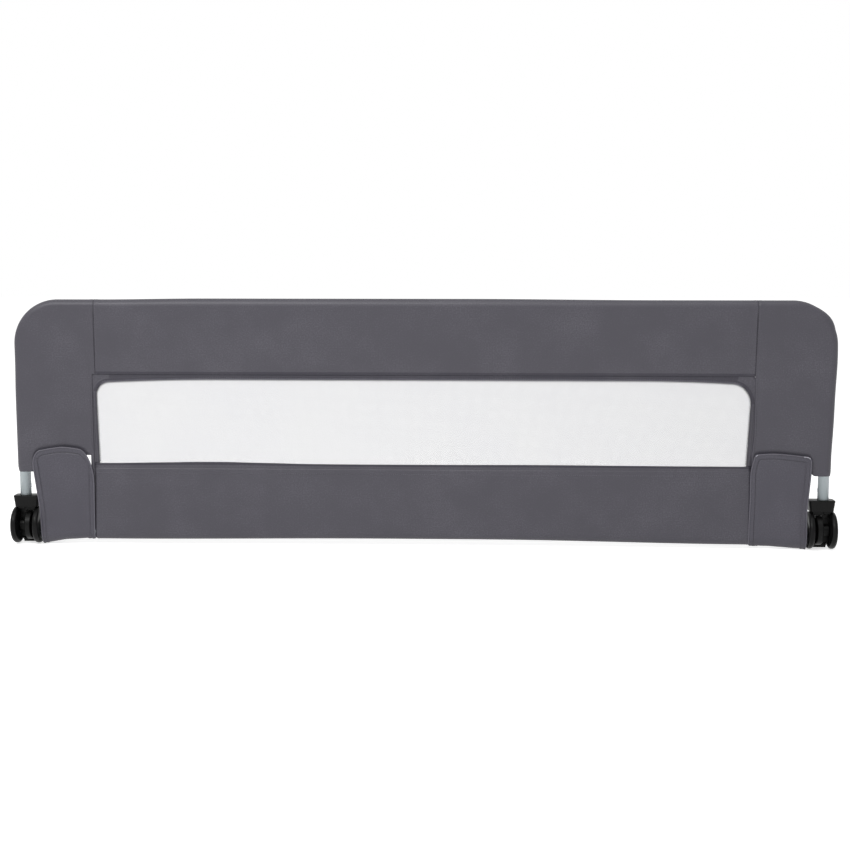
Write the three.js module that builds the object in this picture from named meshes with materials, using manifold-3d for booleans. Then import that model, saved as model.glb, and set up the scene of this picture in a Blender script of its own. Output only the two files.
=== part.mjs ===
// A folding bed guard rail: a cloth cover stretched over an upright tube frame, which folds on two hinges
// carried by a pair of hairpin legs that lie under the mattress.
// Millimetres, +Z up. X runs along the rail, -Y is the outer side that faces the room and +Y the mattress side.
// The origin is under the middle of the whole part, on the surface that the legs lie on.

import * as THREE from 'three';
import { mergeVertices } from 'three/addons/utils/BufferGeometryUtils.js';
import Module from 'manifold-3d';

// Whole rail
const railLength = 1500;
const railHeight = 450;
const touchGap = 0.3;
const overrun = 2;

// Frame tubes
const frameRadius = 10;
const frameWall = 1.2;
const cornerBend = 66;
const cornerRun = 28;
const swageLength = 50;
const swageShoulder = 6;
const ferruleLength = 120;
const crossbarDrop = 11;

// Hinge
const axisHeight = 35;
const cheekRadius = 34;
const cheekThickness = 10;
const cheekRound = 3;
const knuckleRadius = 30;
const hubRadius = 22;
const bandHalf = 7;
const knuckleWidth = 29.4;
const uprightOffset = 3;
const swingGap = 0.6;
const foldBack = 90;
const foldDown = 180;

// Fork saddle that carries the upright
const bridgeTop = 35;
const bridgeHalfDepth = 12.5;
const bossHalfDepth = 5;
const saddleTop = 41;
const saddleHalfWidth = 13;
const saddleHalfDepth = 10.5;
const towerHeight = 44;
const towerRoof = 4;
const crossbarSpigot = 28;

// Axle
const axleRadius = 4;
const axleHeadRadius = 7;
const axleHeadHeight = 3.7;
const axleCapHeight = 2.7;
const insertRadius = 6.5;
const insertFloor = 0.9;
const insertLength = 7.9;

// Fork screws
const screwRadius = 1.5;
const screwHeadRadius = 2.6;
const screwHeadHeight = 2.2;
const screwSide = 7.9;

// Release collar and its lock
const collarHeight = 20.7;
const collarHalfWidth = 24;
const collarHalfDepth = 13;
const collarCorner = 6;
const collarChamfer = 1.6;
const collarTaper = 2.5;
const lockTravel = 12;
const lockDepth = 3;
const plungerRadius = 5.3;
const plungerCrown = 8;
const plungerPoint = 1.2;
const pinRadius = 2;
const pinRise = 7.4;
const pinInset = 1;
const springWire = 0.5;
const springRadius = 4.4;
const springTurns = 6;

// Rivet between the upright and the fork tower
const rivetRadius = 1.8;
const rivetHeadRadius = 3.2;
const rivetHeadHeight = 0.8;
const rivetRise = 32;

// Snap button between a corner tube and a top tube
const buttonRadius = 3;
const buttonReach = 2;
const buttonInset = 20;
const clipLength = 30;
const clipWidth = 6;
const clipThickness = 0.8;

// Legs
const legRadius = 9;
const legWall = 1.2;
const legLift = 2;
const legReach = 380;
const legSpread = 150;
const legBend = 50;
const returnRun = 191;
const legSpigot = 41;
const footFront = 14;
const footRoot = 8;
const footRootTop = -12;
const footRootFloor = -22;
const footBack = 34;
const gripLength = 70;
const gripHalfWidth = 13;
const gripCorner = 3;
const gripTopSkin = 1.2;
const gripBendGap = 11;
const gripEndGap = 40;
const endCapFlange = 3;
const endCapPlug = 12;

// Cloth cover
const clothThickness = 1.1;
const clothEase = 0.4;
const cornerEase = 0.4;
const meshThickness = 1;
const meshTuck = 5;
const windowSill = 150;
const windowHeight = 155;
const sideBand = 138;
const bindingWidth = 8.7;
const bindingTopCorner = 18;
const bindingSillCorner = 3;
const sleeveEnd = 135;
const sleeveReach = 24;
const cutoutTop = 165;

// Flaps over the lower corners
const flapTop = 179;
const flapInnerEase = 1.5;
const flapOuterEase = 7.4;
const flapTubeGap = 17;
const flapWaistHeight = 70;
const flapWaistGap = 1;
const flapRearEdge = 12;
const flapCorner = 18;
const flapHeightShares = [0, 0.1, 0.4, 0.7, 1];
const flapCornerShares = [0, 0.2, 0.6, 1];
const stripHeight = 11;
const stripInset = 10;
const stripThickness = 0.8;

// Counts of flat sides and steps on the round pieces
const tubeSides = 16;
const boreSides = 12;
const pinSides = 8;
const legSides = 12;
const discSides = 32;
const bendSteps = 8;
const legBendSteps = 5;
const wrapSteps = 10;
const springSteps = 8;
const wireSides = 5;
const cornerSteps = 3;

// Places worked out from the sizes above
const halfLength = railLength / 2;
const forkHalf = knuckleWidth / 2 + touchGap + cheekThickness;
const cheekInner = knuckleWidth / 2 + touchGap;
const hingeX = halfLength - forkHalf;
const uprightX = hingeX + uprightOffset;
const wrapInner = frameRadius + clothEase;
const wrapOuter = wrapInner + clothThickness;
const topTubeHeight = railHeight - wrapOuter;
const crossbarHeight = axisHeight - crossbarDrop;
const crossbarEnd = hingeX - forkHalf - touchGap;
const frameBore = frameRadius - frameWall;
const spigotRadius = frameBore - touchGap;
const spigotBore = spigotRadius - frameWall;
const plungerBore = plungerRadius + touchGap;
const saddleHeight = axisHeight + saddleTop;
const uprightFoot = saddleHeight + touchGap;
const towerTop = saddleHeight + towerHeight;
const collarFoot = axisHeight + bridgeTop + touchGap;
const collarTop = collarFoot + collarHeight;
const pinHeight = saddleHeight + pinRise;
const slotLow = pinHeight - pinRadius - touchGap;
const slotHigh = pinHeight + pinRadius + touchGap + lockTravel;
const plungerFoot = axisHeight + knuckleRadius - lockDepth;
const plungerTop = pinHeight + plungerCrown;
const springFoot = plungerTop + touchGap;
const springTop = towerTop - towerRoof - touchGap;
const rivetHeight = saddleHeight + rivetRise;
const topTubeEnd = uprightX - cornerBend - cornerRun;
const buttonX = topTubeEnd - buttonInset;
const legHeight = legRadius + legLift;
const legBore = legRadius - legWall;
const innerLegX = hingeX - legSpread;
const legTurn = legReach - legRadius - legBend;
const legReturn = legTurn - returnRun;
const outerGripPlace = legTurn - gripBendGap - gripLength;
const innerGripPlace = legReturn + gripEndGap;
const windowTop = windowSill + windowHeight;
const windowSide = uprightX - sideBand;
const panelEdge = windowSide + bindingWidth - touchGap / 2;
const panelSill = windowSill - bindingWidth;
const panelLintel = windowTop + bindingWidth;
const edgeInner = meshThickness / 2 + touchGap;
const edgeOuter = edgeInner + clothThickness;
const screwHeight = bridgeTop + screwHeadRadius + touchGap;

const wasm = await Module();
wasm.setup();

// Materials
const colour = (hex, roughness, metalness = 0) =>
  new THREE.MeshStandardMaterial({ color: hex, roughness, metalness });
const clothGrey = colour(0x5c5c62, 0.95);
const bindingGrey = colour(0x44424a, 0.9);
const meshWhite = colour(0xececec, 0.9);
const tubeSteel = colour(0xa8aeaf, 0.35, 0.7);
const blackPlastic = colour(0x1e1e1e, 0.45);
const blackRubber = colour(0x232323, 0.8);
const zincSteel = colour(0xb4b6b8, 0.3, 0.9);
const springSteel = colour(0x8d9092, 0.3, 0.9);
const hookTape = colour(0x3a3a3f, 1);

// Solids and booleans
function welded(geometry) {
  const bare = geometry.clone();
  bare.deleteAttribute('normal');
  bare.deleteAttribute('uv');
  const merged = mergeVertices(bare, 1e-4);
  const source = merged.index.array;
  const kept = [];
  for (let i = 0; i < source.length; i += 3) {
    const [a, b, c] = [source[i], source[i + 1], source[i + 2]];
    if (a !== b && b !== c && c !== a) kept.push(a, b, c);
  }
  merged.setIndex(signedVolume(merged, kept) < 0 ? turned(kept) : kept);
  return merged;
}

function signedVolume(geometry, index) {
  const place = geometry.getAttribute('position');
  const [a, b, c] = [new THREE.Vector3(), new THREE.Vector3(), new THREE.Vector3()];
  let volume = 0;
  for (let i = 0; i < index.length; i += 3) {
    a.fromBufferAttribute(place, index[i]);
    b.fromBufferAttribute(place, index[i + 1]);
    c.fromBufferAttribute(place, index[i + 2]);
    volume += a.dot(b.cross(c)) / 6;
  }
  return volume;
}

function turned(index) {
  const back = [];
  for (let i = 0; i < index.length; i += 3) back.push(index[i], index[i + 2], index[i + 1]);
  return back;
}

function toSolid(geometry) {
  const shape = welded(geometry);
  return new wasm.Manifold(new wasm.Mesh({
    numProp: 3,
    vertProperties: new Float32Array(shape.getAttribute('position').array),
    triVerts: new Uint32Array(shape.index.array),
  }));
}

function toGeometry(solid) {
  const mesh = solid.getMesh();
  const geometry = new THREE.BufferGeometry();
  geometry.setAttribute('position', new THREE.Float32BufferAttribute(mesh.vertProperties, 3));
  geometry.setIndex(Array.from(mesh.triVerts));
  geometry.computeVertexNormals();
  return geometry;
}

function shaped(parts, cuts = []) {
  let solid = toSolid(parts[0]);
  for (const part of parts.slice(1)) solid = solid.add(toSolid(part));
  for (const cut of cuts) solid = solid.subtract(toSolid(cut));
  return toGeometry(solid);
}

function mirrored(geometry) {
  const twin = geometry.clone();
  twin.scale(-1, 1, 1);
  const corners = twin.index ? twin.index.array : new Array(twin.getAttribute('position').count).keys();
  twin.setIndex(turned(Array.from(corners)));
  twin.computeVertexNormals();
  return twin;
}

// A block between two corners
function block(x0, x1, y0, y1, z0, z1) {
  const geometry = new THREE.BoxGeometry(x1 - x0, y1 - y0, z1 - z0);
  return geometry.translate((x0 + x1) / 2, (y0 + y1) / 2, (z0 + z1) / 2);
}

// Round solids about an axis. A bore's flat sides lie on its radius, and a pin's corners do.
const boreRadius = (radius, sides) => radius / Math.cos(Math.PI / sides);

function turnedX(points, sides) {
  const geometry = new THREE.LatheGeometry(points.map(([radius, x]) => new THREE.Vector2(radius, x)), sides);
  return geometry.rotateZ(-Math.PI / 2);
}

function turnedZ(points, sides) {
  const geometry = new THREE.LatheGeometry(points.map(([radius, z]) => new THREE.Vector2(radius, z)), sides);
  return geometry.rotateX(Math.PI / 2);
}

const rodX = (radius, x0, x1, sides) => turnedX([[0, x0], [radius, x0], [radius, x1], [0, x1]], sides);
const rodZ = (radius, z0, z1, sides) => turnedZ([[0, z0], [radius, z0], [radius, z1], [0, z1]], sides);
const rodY = (radius, y0, y1, sides) => rodX(radius, y0, y1, sides).rotateZ(Math.PI / 2);
const drillX = (radius, x0, x1, sides) => rodX(boreRadius(radius, sides), x0, x1, sides);
const drillZ = (radius, z0, z1, sides) => rodZ(boreRadius(radius, sides), z0, z1, sides);

const pipeX = (radius, bore, x0, x1) => turnedX(
  [[radius, x0], [radius, x1], [boreRadius(bore, tubeSides), x1], [boreRadius(bore, tubeSides), x0], [radius, x0]],
  tubeSides,
);

// A path of straight runs and round bends. A straight takes one step and each bend takes the same few steps.
class BentPath extends THREE.Curve {
  constructor(corners, bend, steps) {
    super();
    this.stations = [];
    const add = (point, tangent) => this.stations.push({ point, tangent });
    const last = corners.length - 1;
    corners.forEach((corner, i) => {
      const before = i > 0 ? corner.clone().sub(corners[i - 1]).normalize() : null;
      const after = i < last ? corners[i + 1].clone().sub(corner).normalize() : null;
      if (!before || !after) {
        add(corner.clone(), (before ?? after).clone());
        return;
      }
      const start = corner.clone().addScaledVector(before, -bend);
      const centre = start.clone().addScaledVector(after, bend);
      for (let step = 0; step <= steps; step += 1) {
        const angle = (step / steps) * (Math.PI / 2);
        const point = centre.clone()
          .addScaledVector(after, -bend * Math.cos(angle))
          .addScaledVector(before, bend * Math.sin(angle));
        const tangent = before.clone().multiplyScalar(Math.cos(angle)).addScaledVector(after, Math.sin(angle));
        add(point, tangent);
      }
    });
  }

  at(share) {
    return this.stations[Math.round(share * (this.stations.length - 1))];
  }

  getPointAt(share) {
    return this.at(share).point.clone();
  }

  getTangentAt(share) {
    return this.at(share).tangent.clone();
  }
}

function circle(radius, sides) {
  const points = [];
  for (let i = 0; i < sides; i += 1) {
    const angle = (i / sides) * Math.PI * 2;
    points.push(new THREE.Vector2(radius * Math.cos(angle), radius * Math.sin(angle)));
  }
  return points;
}

function bentTube(corners, bend, bends, radius, bore, sides) {
  const path = new BentPath(corners, bend, bends);
  const section = new THREE.Shape(circle(radius, sides));
  section.holes.push(new THREE.Path(circle(boreRadius(bore, sides), sides)));
  const steps = path.stations.length - 1;
  return new THREE.ExtrudeGeometry(section, { extrudePath: path, steps, bevelEnabled: false });
}

// How a closed loop is filled. The loop of a bent sheet has as many points on its one face as on the other.
function fill(loop, sheet) {
  if (!sheet) return THREE.ShapeUtils.triangulateShape([...loop], []);
  const last = loop.length - 1;
  const faces = [];
  for (let i = 0; i < last - i - 1; i += 1) faces.push([i, i + 1, last - i], [i + 1, last - i - 1, last - i]);
  return faces;
}

// A solid through a row of closed loops. Each section has an outline in its own plane and a way to place it.
function loft(sections, sheet = false) {
  const count = sections[0].outline.length;
  const backwards = THREE.ShapeUtils.isClockWise(sections[0].outline);
  const loops = sections.map(({ outline }) => (backwards ? [...outline].reverse() : outline));
  const positions = loops.flatMap((loop, i) => loop.flatMap((point) => sections[i].place(point).toArray()));
  const index = [];
  for (let i = 0; i < sections.length - 1; i += 1) {
    for (let j = 0; j < count; j += 1) {
      const [a, b] = [i * count + j, i * count + ((j + 1) % count)];
      index.push(a, b, b + count, a, b + count, a + count);
    }
  }
  const lastRow = (sections.length - 1) * count;
  for (const [a, b, c] of fill(loops[0], sheet)) index.push(a, c, b);
  for (const [a, b, c] of fill(loops.at(-1), sheet)) index.push(lastRow + a, lastRow + b, lastRow + c);
  const geometry = new THREE.BufferGeometry();
  geometry.setAttribute('position', new THREE.Float32BufferAttribute(positions, 3));
  geometry.setIndex(signedVolume(geometry, index) < 0 ? turned(index) : index);
  geometry.computeVertexNormals();
  return geometry;
}

// An outline of Y and Z points pushed along X
function barOf(outline, x0, x1) {
  const place = (x) => (point) => new THREE.Vector3(x, point.x, point.y);
  return loft([{ outline, place: place(x0) }, { outline, place: place(x1) }]);
}

// A box outline with round corners, seen from above
function roundedBox(halfWidth, halfDepth, corner) {
  const points = [];
  const turns = [[1, 1, 0], [-1, 1, 1], [-1, -1, 2], [1, -1, 3]];
  for (const [sx, sy, quarter] of turns) {
    for (let step = 0; step <= cornerSteps; step += 1) {
      const angle = (quarter + step / cornerSteps) * (Math.PI / 2);
      points.push(new THREE.Vector2(
        sx * (halfWidth - corner) + corner * Math.cos(angle),
        sy * (halfDepth - corner) + corner * Math.sin(angle),
      ));
    }
  }
  return points;
}

// The base stays under the mattress and the rail folds on it. The collars and the flaps move on the rail.
const model = new THREE.Group();
const groups = {
  base: new THREE.Group(), rail: new THREE.Group(), collars: new THREE.Group(), flaps: new THREE.Group(),
};
model.add(...Object.values(groups));

function add(group, name, geometry, material, x = 0, y = 0, z = 0) {
  const mesh = new THREE.Mesh(geometry, material);
  mesh.name = name;
  mesh.position.set(x, y, z);
  groups[group].add(mesh);
}

// One piece on each side. It is made for the right side, and the left one is its mirror image.
function addPair(group, name, geometry, material, x = 0, y = 0, z = 0) {
  add(group, `left_${name}`, mirrored(geometry), material, -x, y, z);
  add(group, `right_${name}`, geometry, material, x, y, z);
}

// Hinge knuckle, measured from the hinge axis: a hub with a raised band. The lock plunger runs on the lower
// part of the band as far as the rail folds, and the rest of the band stops it.
function knuckle() {
  const half = knuckleWidth / 2;
  const legDrop = legHeight - axisHeight;
  const grooveFloor = knuckleRadius - lockDepth - touchGap;
  const slack = Math.asin((plungerRadius + swingGap) / grooveFloor);
  const from = -THREE.MathUtils.degToRad(foldBack) - slack;
  const to = THREE.MathUtils.degToRad(foldDown) + slack;
  const steps = Math.round(discSides * (to - from) / (Math.PI * 2));
  const outline = [];
  for (let i = 0; i <= steps; i += 1) {
    const angle = from + (to - from) * (i / steps);
    outline.push(new THREE.Vector2(-grooveFloor * Math.sin(angle), grooveFloor * Math.cos(angle)));
  }
  for (let i = steps; i >= 0; i -= 1) {
    const angle = from + (to - from) * (i / steps);
    const outer = knuckleRadius + overrun;
    outline.push(new THREE.Vector2(-outer * Math.sin(angle), outer * Math.cos(angle)));
  }
  return shaped(
    [
      rodX(hubRadius, -half, half, discSides),
      rodX(knuckleRadius, uprightOffset - bandHalf, uprightOffset + bandHalf, discSides),
      block(-legRadius, legRadius, footRoot, footFront + overrun, footRootFloor, footRootTop),
      rodY(legRadius, footFront, footBack, legSides).translate(0, 0, legDrop),
      block(-half, half, footFront, footBack, -axisHeight, legDrop),
      rodY(legBore - touchGap, footFront, footBack + legSpigot, legSides).translate(0, 0, legDrop),
    ],
    [
      barOf(outline, uprightOffset - bandHalf - overrun, uprightOffset + bandHalf + overrun),
      drillX(axleRadius + touchGap, -half - overrun, half + overrun, boreSides),
    ],
  );
}

// Hairpin leg, measured from the middle of the rail
function legTube() {
  const far = legReach - legRadius;
  return bentTube(
    [
      new THREE.Vector3(0, footBack + touchGap, 0),
      new THREE.Vector3(0, far, 0),
      new THREE.Vector3(-legSpread, far, 0),
      new THREE.Vector3(-legSpread, legReturn, 0),
    ],
    legBend, legBendSteps, legRadius, legBore, legSides,
  );
}

// Rubber grip round a leg, with a flat underside and a flat top
function legGrip() {
  const top = legRadius + touchGap + gripTopSkin;
  const middle = (top - legHeight) / 2;
  const outline = roundedBox(gripHalfWidth, (top + legHeight) / 2, gripCorner);
  const place = (y) => (point) => new THREE.Vector3(point.x, y, point.y + middle);
  return shaped(
    [loft([{ outline, place: place(0) }, { outline, place: place(gripLength) }])],
    [rodY(boreRadius(legRadius + touchGap, legSides), -overrun, gripLength + overrun, legSides)],
  );
}

// Cap in the open end of a leg, measured from that end
function legEndCap() {
  const profile = [
    [0, -endCapFlange], [legRadius - endCapFlange / 2, -endCapFlange], [legRadius, -endCapFlange / 2],
    [legRadius, -touchGap], [legBore - touchGap, -touchGap], [legBore - touchGap, endCapPlug], [0, endCapPlug],
  ];
  return turnedX(profile, legSides).rotateZ(Math.PI / 2);
}

addPair('base', 'hinge_knuckle', knuckle(), blackPlastic, hingeX, 0, axisHeight);
addPair('base', 'leg_tube', legTube(), tubeSteel, hingeX, 0, legHeight);
addPair('base', 'leg_outer_grip', legGrip(), blackRubber, hingeX, outerGripPlace, legHeight);
addPair('base', 'leg_inner_grip', legGrip(), blackRubber, innerLegX, innerGripPlace, legHeight);
addPair('base', 'leg_end_cap', legEndCap(), blackPlastic, innerLegX, legReturn, legHeight);

// Corner tube with a swaged end that plugs into the top tube
function cornerTube() {
  const shoulder = topTubeEnd + touchGap;
  const bore = boreRadius(spigotBore, tubeSides);
  const swage = turnedX([
    [bore, topTubeEnd - swageLength], [spigotRadius, topTubeEnd - swageLength], [spigotRadius, shoulder],
    [(frameRadius + frameBore) / 2, shoulder], [(frameRadius + frameBore) / 2, shoulder + swageShoulder],
    [bore, shoulder + swageShoulder], [bore, topTubeEnd - swageLength],
  ], tubeSides).translate(0, 0, topTubeHeight);
  const slotHalf = pinRadius + touchGap;
  const reach = frameRadius + overrun;
  return shaped(
    [
      bentTube([
        new THREE.Vector3(uprightX, 0, uprightFoot),
        new THREE.Vector3(uprightX, 0, topTubeHeight),
        new THREE.Vector3(shoulder, 0, topTubeHeight),
      ], cornerBend, bendSteps, frameRadius, frameBore, tubeSides),
      swage,
    ],
    [
      block(uprightX - reach, uprightX + reach, -slotHalf, slotHalf, slotLow, slotHigh),
      drillX(rivetRadius + touchGap, uprightX - reach, uprightX, pinSides).translate(0, 0, rivetHeight),
      drillZ(buttonRadius + touchGap, topTubeHeight - reach, topTubeHeight, boreSides).translate(buttonX, 0, 0),
    ],
  );
}

function topTube() {
  const bottom = topTubeHeight - frameRadius - overrun;
  return shaped(
    [pipeX(frameRadius, frameBore, touchGap / 2, topTubeEnd).translate(0, 0, topTubeHeight)],
    [drillZ(buttonRadius + touchGap, bottom, topTubeHeight, boreSides).translate(buttonX, 0, 0)],
  );
}

// Snap button on a folded leaf spring inside the swaged end, measured from the middle of the tube
function snapButton() {
  const room = spigotBore - touchGap;
  const floor = -Math.sqrt(room * room - (clipWidth / 2) ** 2);
  const roof = -floor;
  const end = clipLength;
  const leaf = new THREE.Shape([
    new THREE.Vector2(-clipWidth, floor), new THREE.Vector2(end, floor + clipThickness),
    new THREE.Vector2(end + clipThickness * 2, 0), new THREE.Vector2(end, roof - clipThickness),
    new THREE.Vector2(clipWidth, roof), new THREE.Vector2(clipWidth, roof - clipThickness),
    new THREE.Vector2(end - clipThickness, roof - clipThickness * 3), new THREE.Vector2(end, 0),
    new THREE.Vector2(end - clipThickness, floor + clipThickness * 3),
    new THREE.Vector2(-clipWidth, floor + clipThickness),
  ]);
  const clip = new THREE.ExtrudeGeometry(leaf, { depth: clipWidth, bevelEnabled: false });
  clip.rotateX(Math.PI / 2).translate(0, clipWidth / 2, 0);
  return shaped([clip, rodZ(buttonRadius, -frameRadius - buttonReach, floor + clipThickness / 2, boreSides)]);
}

addPair('rail', 'corner_tube', cornerTube(), tubeSteel);
addPair('rail', 'top_tube', topTube(), tubeSteel);
addPair('rail', 'snap_button', snapButton(), springSteel, buttonX, 0, topTubeHeight);
const ferrule = pipeX(spigotRadius, spigotBore, -ferruleLength / 2, ferruleLength / 2);
add('rail', 'top_tube_ferrule', ferrule, zincSteel, 0, 0, topTubeHeight);
addPair('rail', 'crossbar', pipeX(frameRadius, frameBore, touchGap / 2, crossbarEnd), tubeSteel, 0, 0, crossbarHeight);
add('rail', 'crossbar_ferrule', ferrule.clone(), zincSteel, 0, 0, crossbarHeight);

// Hinge fork in two halves, measured from the hinge axis and parted in the plane of the upright.
// Each half has a cheek, half of the bridge and saddle, and half of the tower inside the upright.
function cheek(inner, outer) {
  const round = Math.sign(outer - inner) * cheekRound;
  return turnedX([
    [0, inner], [cheekRadius - touchGap, inner], [cheekRadius, inner + round / 3],
    [cheekRadius, outer - round], [cheekRadius - cheekRound / 3, outer - round / 3],
    [cheekRadius - cheekRound, outer], [0, outer],
  ], discSides);
}

function saddleHalf(hand) {
  const split = uprightOffset + hand * touchGap / 2;
  const toCheek = hand * (cheekInner + cheekRound / 2);
  const side = uprightOffset + hand * saddleHalfWidth;
  const across = (a, b) => [Math.min(a, b), Math.max(a, b)];
  const tower = rodZ(spigotRadius, saddleTop - overrun, saddleTop + towerHeight, tubeSides);
  tower.translate(uprightOffset, 0, 0);
  const keep = block(
    ...across(split, split + hand * cheekRadius), -cheekRadius, cheekRadius, 0, saddleTop + towerHeight + overrun,
  );
  const half = toSolid(tower).intersect(toSolid(keep));
  const besideBand = uprightOffset + hand * (bandHalf + swingGap);
  const web = hubRadius + swingGap;
  const boss = knuckleRadius - lockDepth + touchGap;
  return [
    block(...across(besideBand, toCheek), -bridgeHalfDepth, bridgeHalfDepth, web, bridgeTop),
    block(...across(split, besideBand + hand * overrun), -bossHalfDepth, bossHalfDepth, boss, bridgeTop),
    block(...across(split, toCheek), -bridgeHalfDepth, bridgeHalfDepth, knuckleRadius + swingGap, bridgeTop),
    block(...across(split, side), -saddleHalfDepth, saddleHalfDepth, bridgeTop - overrun, saddleTop),
    toGeometry(half),
  ];
}

function saddleCuts() {
  const roof = saddleTop + towerHeight - towerRoof;
  const reach = spigotRadius + overrun;
  const slotHalf = pinRadius + touchGap;
  const screws = [-screwSide, screwSide].map((y) => drillX(
    screwRadius + touchGap, uprightOffset - saddleHalfWidth - overrun,
    uprightOffset + saddleHalfWidth - overrun, pinSides,
  ).translate(0, y, screwHeight));
  return [
    drillZ(plungerBore, hubRadius, roof, boreSides).translate(uprightOffset, 0, 0),
    block(
      uprightOffset - reach, uprightOffset + reach, -slotHalf, slotHalf,
      slotLow - axisHeight, slotHigh - axisHeight,
    ),
    ...screws,
  ];
}

function forkOuter() {
  const headSeat = forkHalf - axleCapHeight - axleHeadHeight - touchGap * 2;
  return shaped(
    [cheek(cheekInner, forkHalf), ...saddleHalf(1)],
    [
      ...saddleCuts(),
      drillX(axleRadius + touchGap, cheekInner - overrun, forkHalf, boreSides),
      drillX(axleHeadRadius + touchGap, headSeat, forkHalf + overrun, tubeSides),
    ],
  );
}

function forkInner() {
  const spigot = rodX(spigotRadius, -forkHalf - crossbarSpigot, -cheekInner - cheekRound, tubeSides);
  const rivetHole = drillX(rivetRadius + touchGap, uprightOffset - frameRadius, uprightOffset, pinSides);
  return shaped(
    [cheek(-cheekInner, -forkHalf), ...saddleHalf(-1), spigot.translate(0, 0, -crossbarDrop)],
    [
      ...saddleCuts(),
      rivetHole.translate(0, 0, rivetHeight - axisHeight),
      drillX(insertRadius + touchGap, -cheekInner - touchGap * 2 - insertLength, -cheekInner + overrun, tubeSides),
    ],
  );
}

function axleBolt() {
  const head = forkHalf - axleCapHeight - touchGap;
  const tip = cheekInner + touchGap + insertLength - insertFloor - touchGap;
  return turnedX([
    [0, -tip], [axleRadius, -tip], [axleRadius, head - axleHeadHeight],
    [axleHeadRadius, head - axleHeadHeight], [axleHeadRadius, head], [0, head],
  ], boreSides);
}

function axleInsert() {
  const open = -cheekInner - touchGap;
  const bore = boreRadius(axleRadius + touchGap, boreSides);
  return turnedX([
    [0, open - insertLength], [insertRadius, open - insertLength], [insertRadius, open], [bore, open],
    [bore, open - insertLength + insertFloor], [0, open - insertLength + insertFloor],
  ], boreSides);
}

function forkScrew() {
  const seat = uprightOffset - saddleHalfWidth - touchGap;
  const tip = uprightOffset + saddleHalfWidth - overrun - touchGap;
  return turnedX([
    [0, seat - screwHeadHeight], [screwHeadRadius, seat - screwHeadHeight], [screwHeadRadius, seat],
    [screwRadius, seat], [screwRadius, tip], [0, tip],
  ], pinSides);
}

function tubeRivet() {
  const seat = -frameRadius - touchGap;
  return turnedX([
    [0, seat - rivetHeadHeight], [rivetHeadRadius, seat - rivetHeadHeight], [rivetHeadRadius, seat],
    [rivetRadius, seat], [rivetRadius, -plungerBore - touchGap], [0, -plungerBore - touchGap],
  ], pinSides);
}

const axleCap = rodX(axleHeadRadius, forkHalf - axleCapHeight, forkHalf, boreSides);
addPair('rail', 'fork_outer', forkOuter(), blackPlastic, hingeX, 0, axisHeight);
addPair('rail', 'fork_inner', forkInner(), blackPlastic, hingeX, 0, axisHeight);
addPair('rail', 'axle_bolt', axleBolt(), zincSteel, hingeX, 0, axisHeight);
addPair('rail', 'axle_insert', axleInsert(), zincSteel, hingeX, 0, axisHeight);
addPair('rail', 'axle_cap', axleCap, blackPlastic, hingeX, 0, axisHeight);
addPair('rail', 'fork_screw_front', forkScrew(), zincSteel, hingeX, -screwSide, axisHeight + screwHeight);
addPair('rail', 'fork_screw_rear', forkScrew(), zincSteel, hingeX, screwSide, axisHeight + screwHeight);
addPair('rail', 'tube_rivet', tubeRivet(), zincSteel, uprightX, 0, rivetHeight);

// Release collar that slides up the upright, measured from the upright's foot plane
function releaseCollar() {
  const foot = collarFoot - saddleHeight;
  const top = collarTop - saddleHeight;
  const ring = (z, sideInset, faceInset) => ({
    outline: roundedBox(collarHalfWidth - sideInset, collarHalfDepth - faceInset, collarCorner),
    place: (point) => new THREE.Vector3(point.x - uprightOffset, point.y, z),
  });
  const roomWest = saddleHalfWidth + touchGap * 2 + screwHeadHeight;
  const roomEast = saddleHalfWidth + touchGap;
  const roomDepth = saddleHalfDepth + touchGap;
  return shaped(
    [loft([
      ring(foot, collarTaper, 0), ring(top - collarChamfer * 2, 0, 0), ring(top - collarChamfer, 0, 0),
      ring(top, collarChamfer, collarChamfer),
    ])],
    [
      drillZ(frameRadius + touchGap, foot - overrun, top + overrun, tubeSides),
      block(-roomWest, roomEast, -roomDepth, roomDepth, foot - overrun, touchGap),
      drillX(pinRadius + touchGap, -collarHalfWidth - overrun, collarHalfWidth + overrun, pinSides)
        .translate(-uprightOffset, 0, pinRise),
    ],
  );
}

// Lock plunger inside the tower. The collar's cross pin lifts it out of the knuckle.
function lockPlunger() {
  const foot = plungerFoot - pinHeight;
  const body = turnedZ([
    [0, foot], [plungerRadius - plungerPoint, foot], [plungerRadius, foot + plungerPoint],
    [plungerRadius, plungerCrown], [0, plungerCrown],
  ], boreSides);
  const reach = plungerRadius + overrun;
  return shaped([body], [drillX(pinRadius + touchGap, -reach, reach, pinSides)]);
}

// Helix spring above the plunger, measured from its foot
function lockSpring() {
  class Helix extends THREE.Curve {
    getPoint(share, target = new THREE.Vector3()) {
      const angle = share * springTurns * Math.PI * 2;
      const rise = springTop - springFoot - springWire * 2;
      return target.set(springRadius * Math.cos(angle), springRadius * Math.sin(angle), springWire + rise * share);
    }
  }
  const wire = new THREE.Shape(circle(springWire, wireSides));
  const steps = springTurns * springSteps;
  return new THREE.ExtrudeGeometry(wire, { extrudePath: new Helix(), steps, bevelEnabled: false });
}

const pinHalf = collarHalfWidth - collarTaper - pinInset;
const crossPin = rodX(pinRadius, -pinHalf - uprightOffset, pinHalf - uprightOffset, pinSides);
addPair('collars', 'release_collar', releaseCollar(), blackPlastic, uprightX, 0, saddleHeight);
addPair('collars', 'collar_pin', crossPin, zincSteel, uprightX, 0, pinHeight);
addPair('collars', 'lock_plunger', lockPlunger(), zincSteel, uprightX, 0, pinHeight);
addPair('rail', 'lock_spring', lockSpring(), springSteel, uprightX, 0, springFoot);

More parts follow.
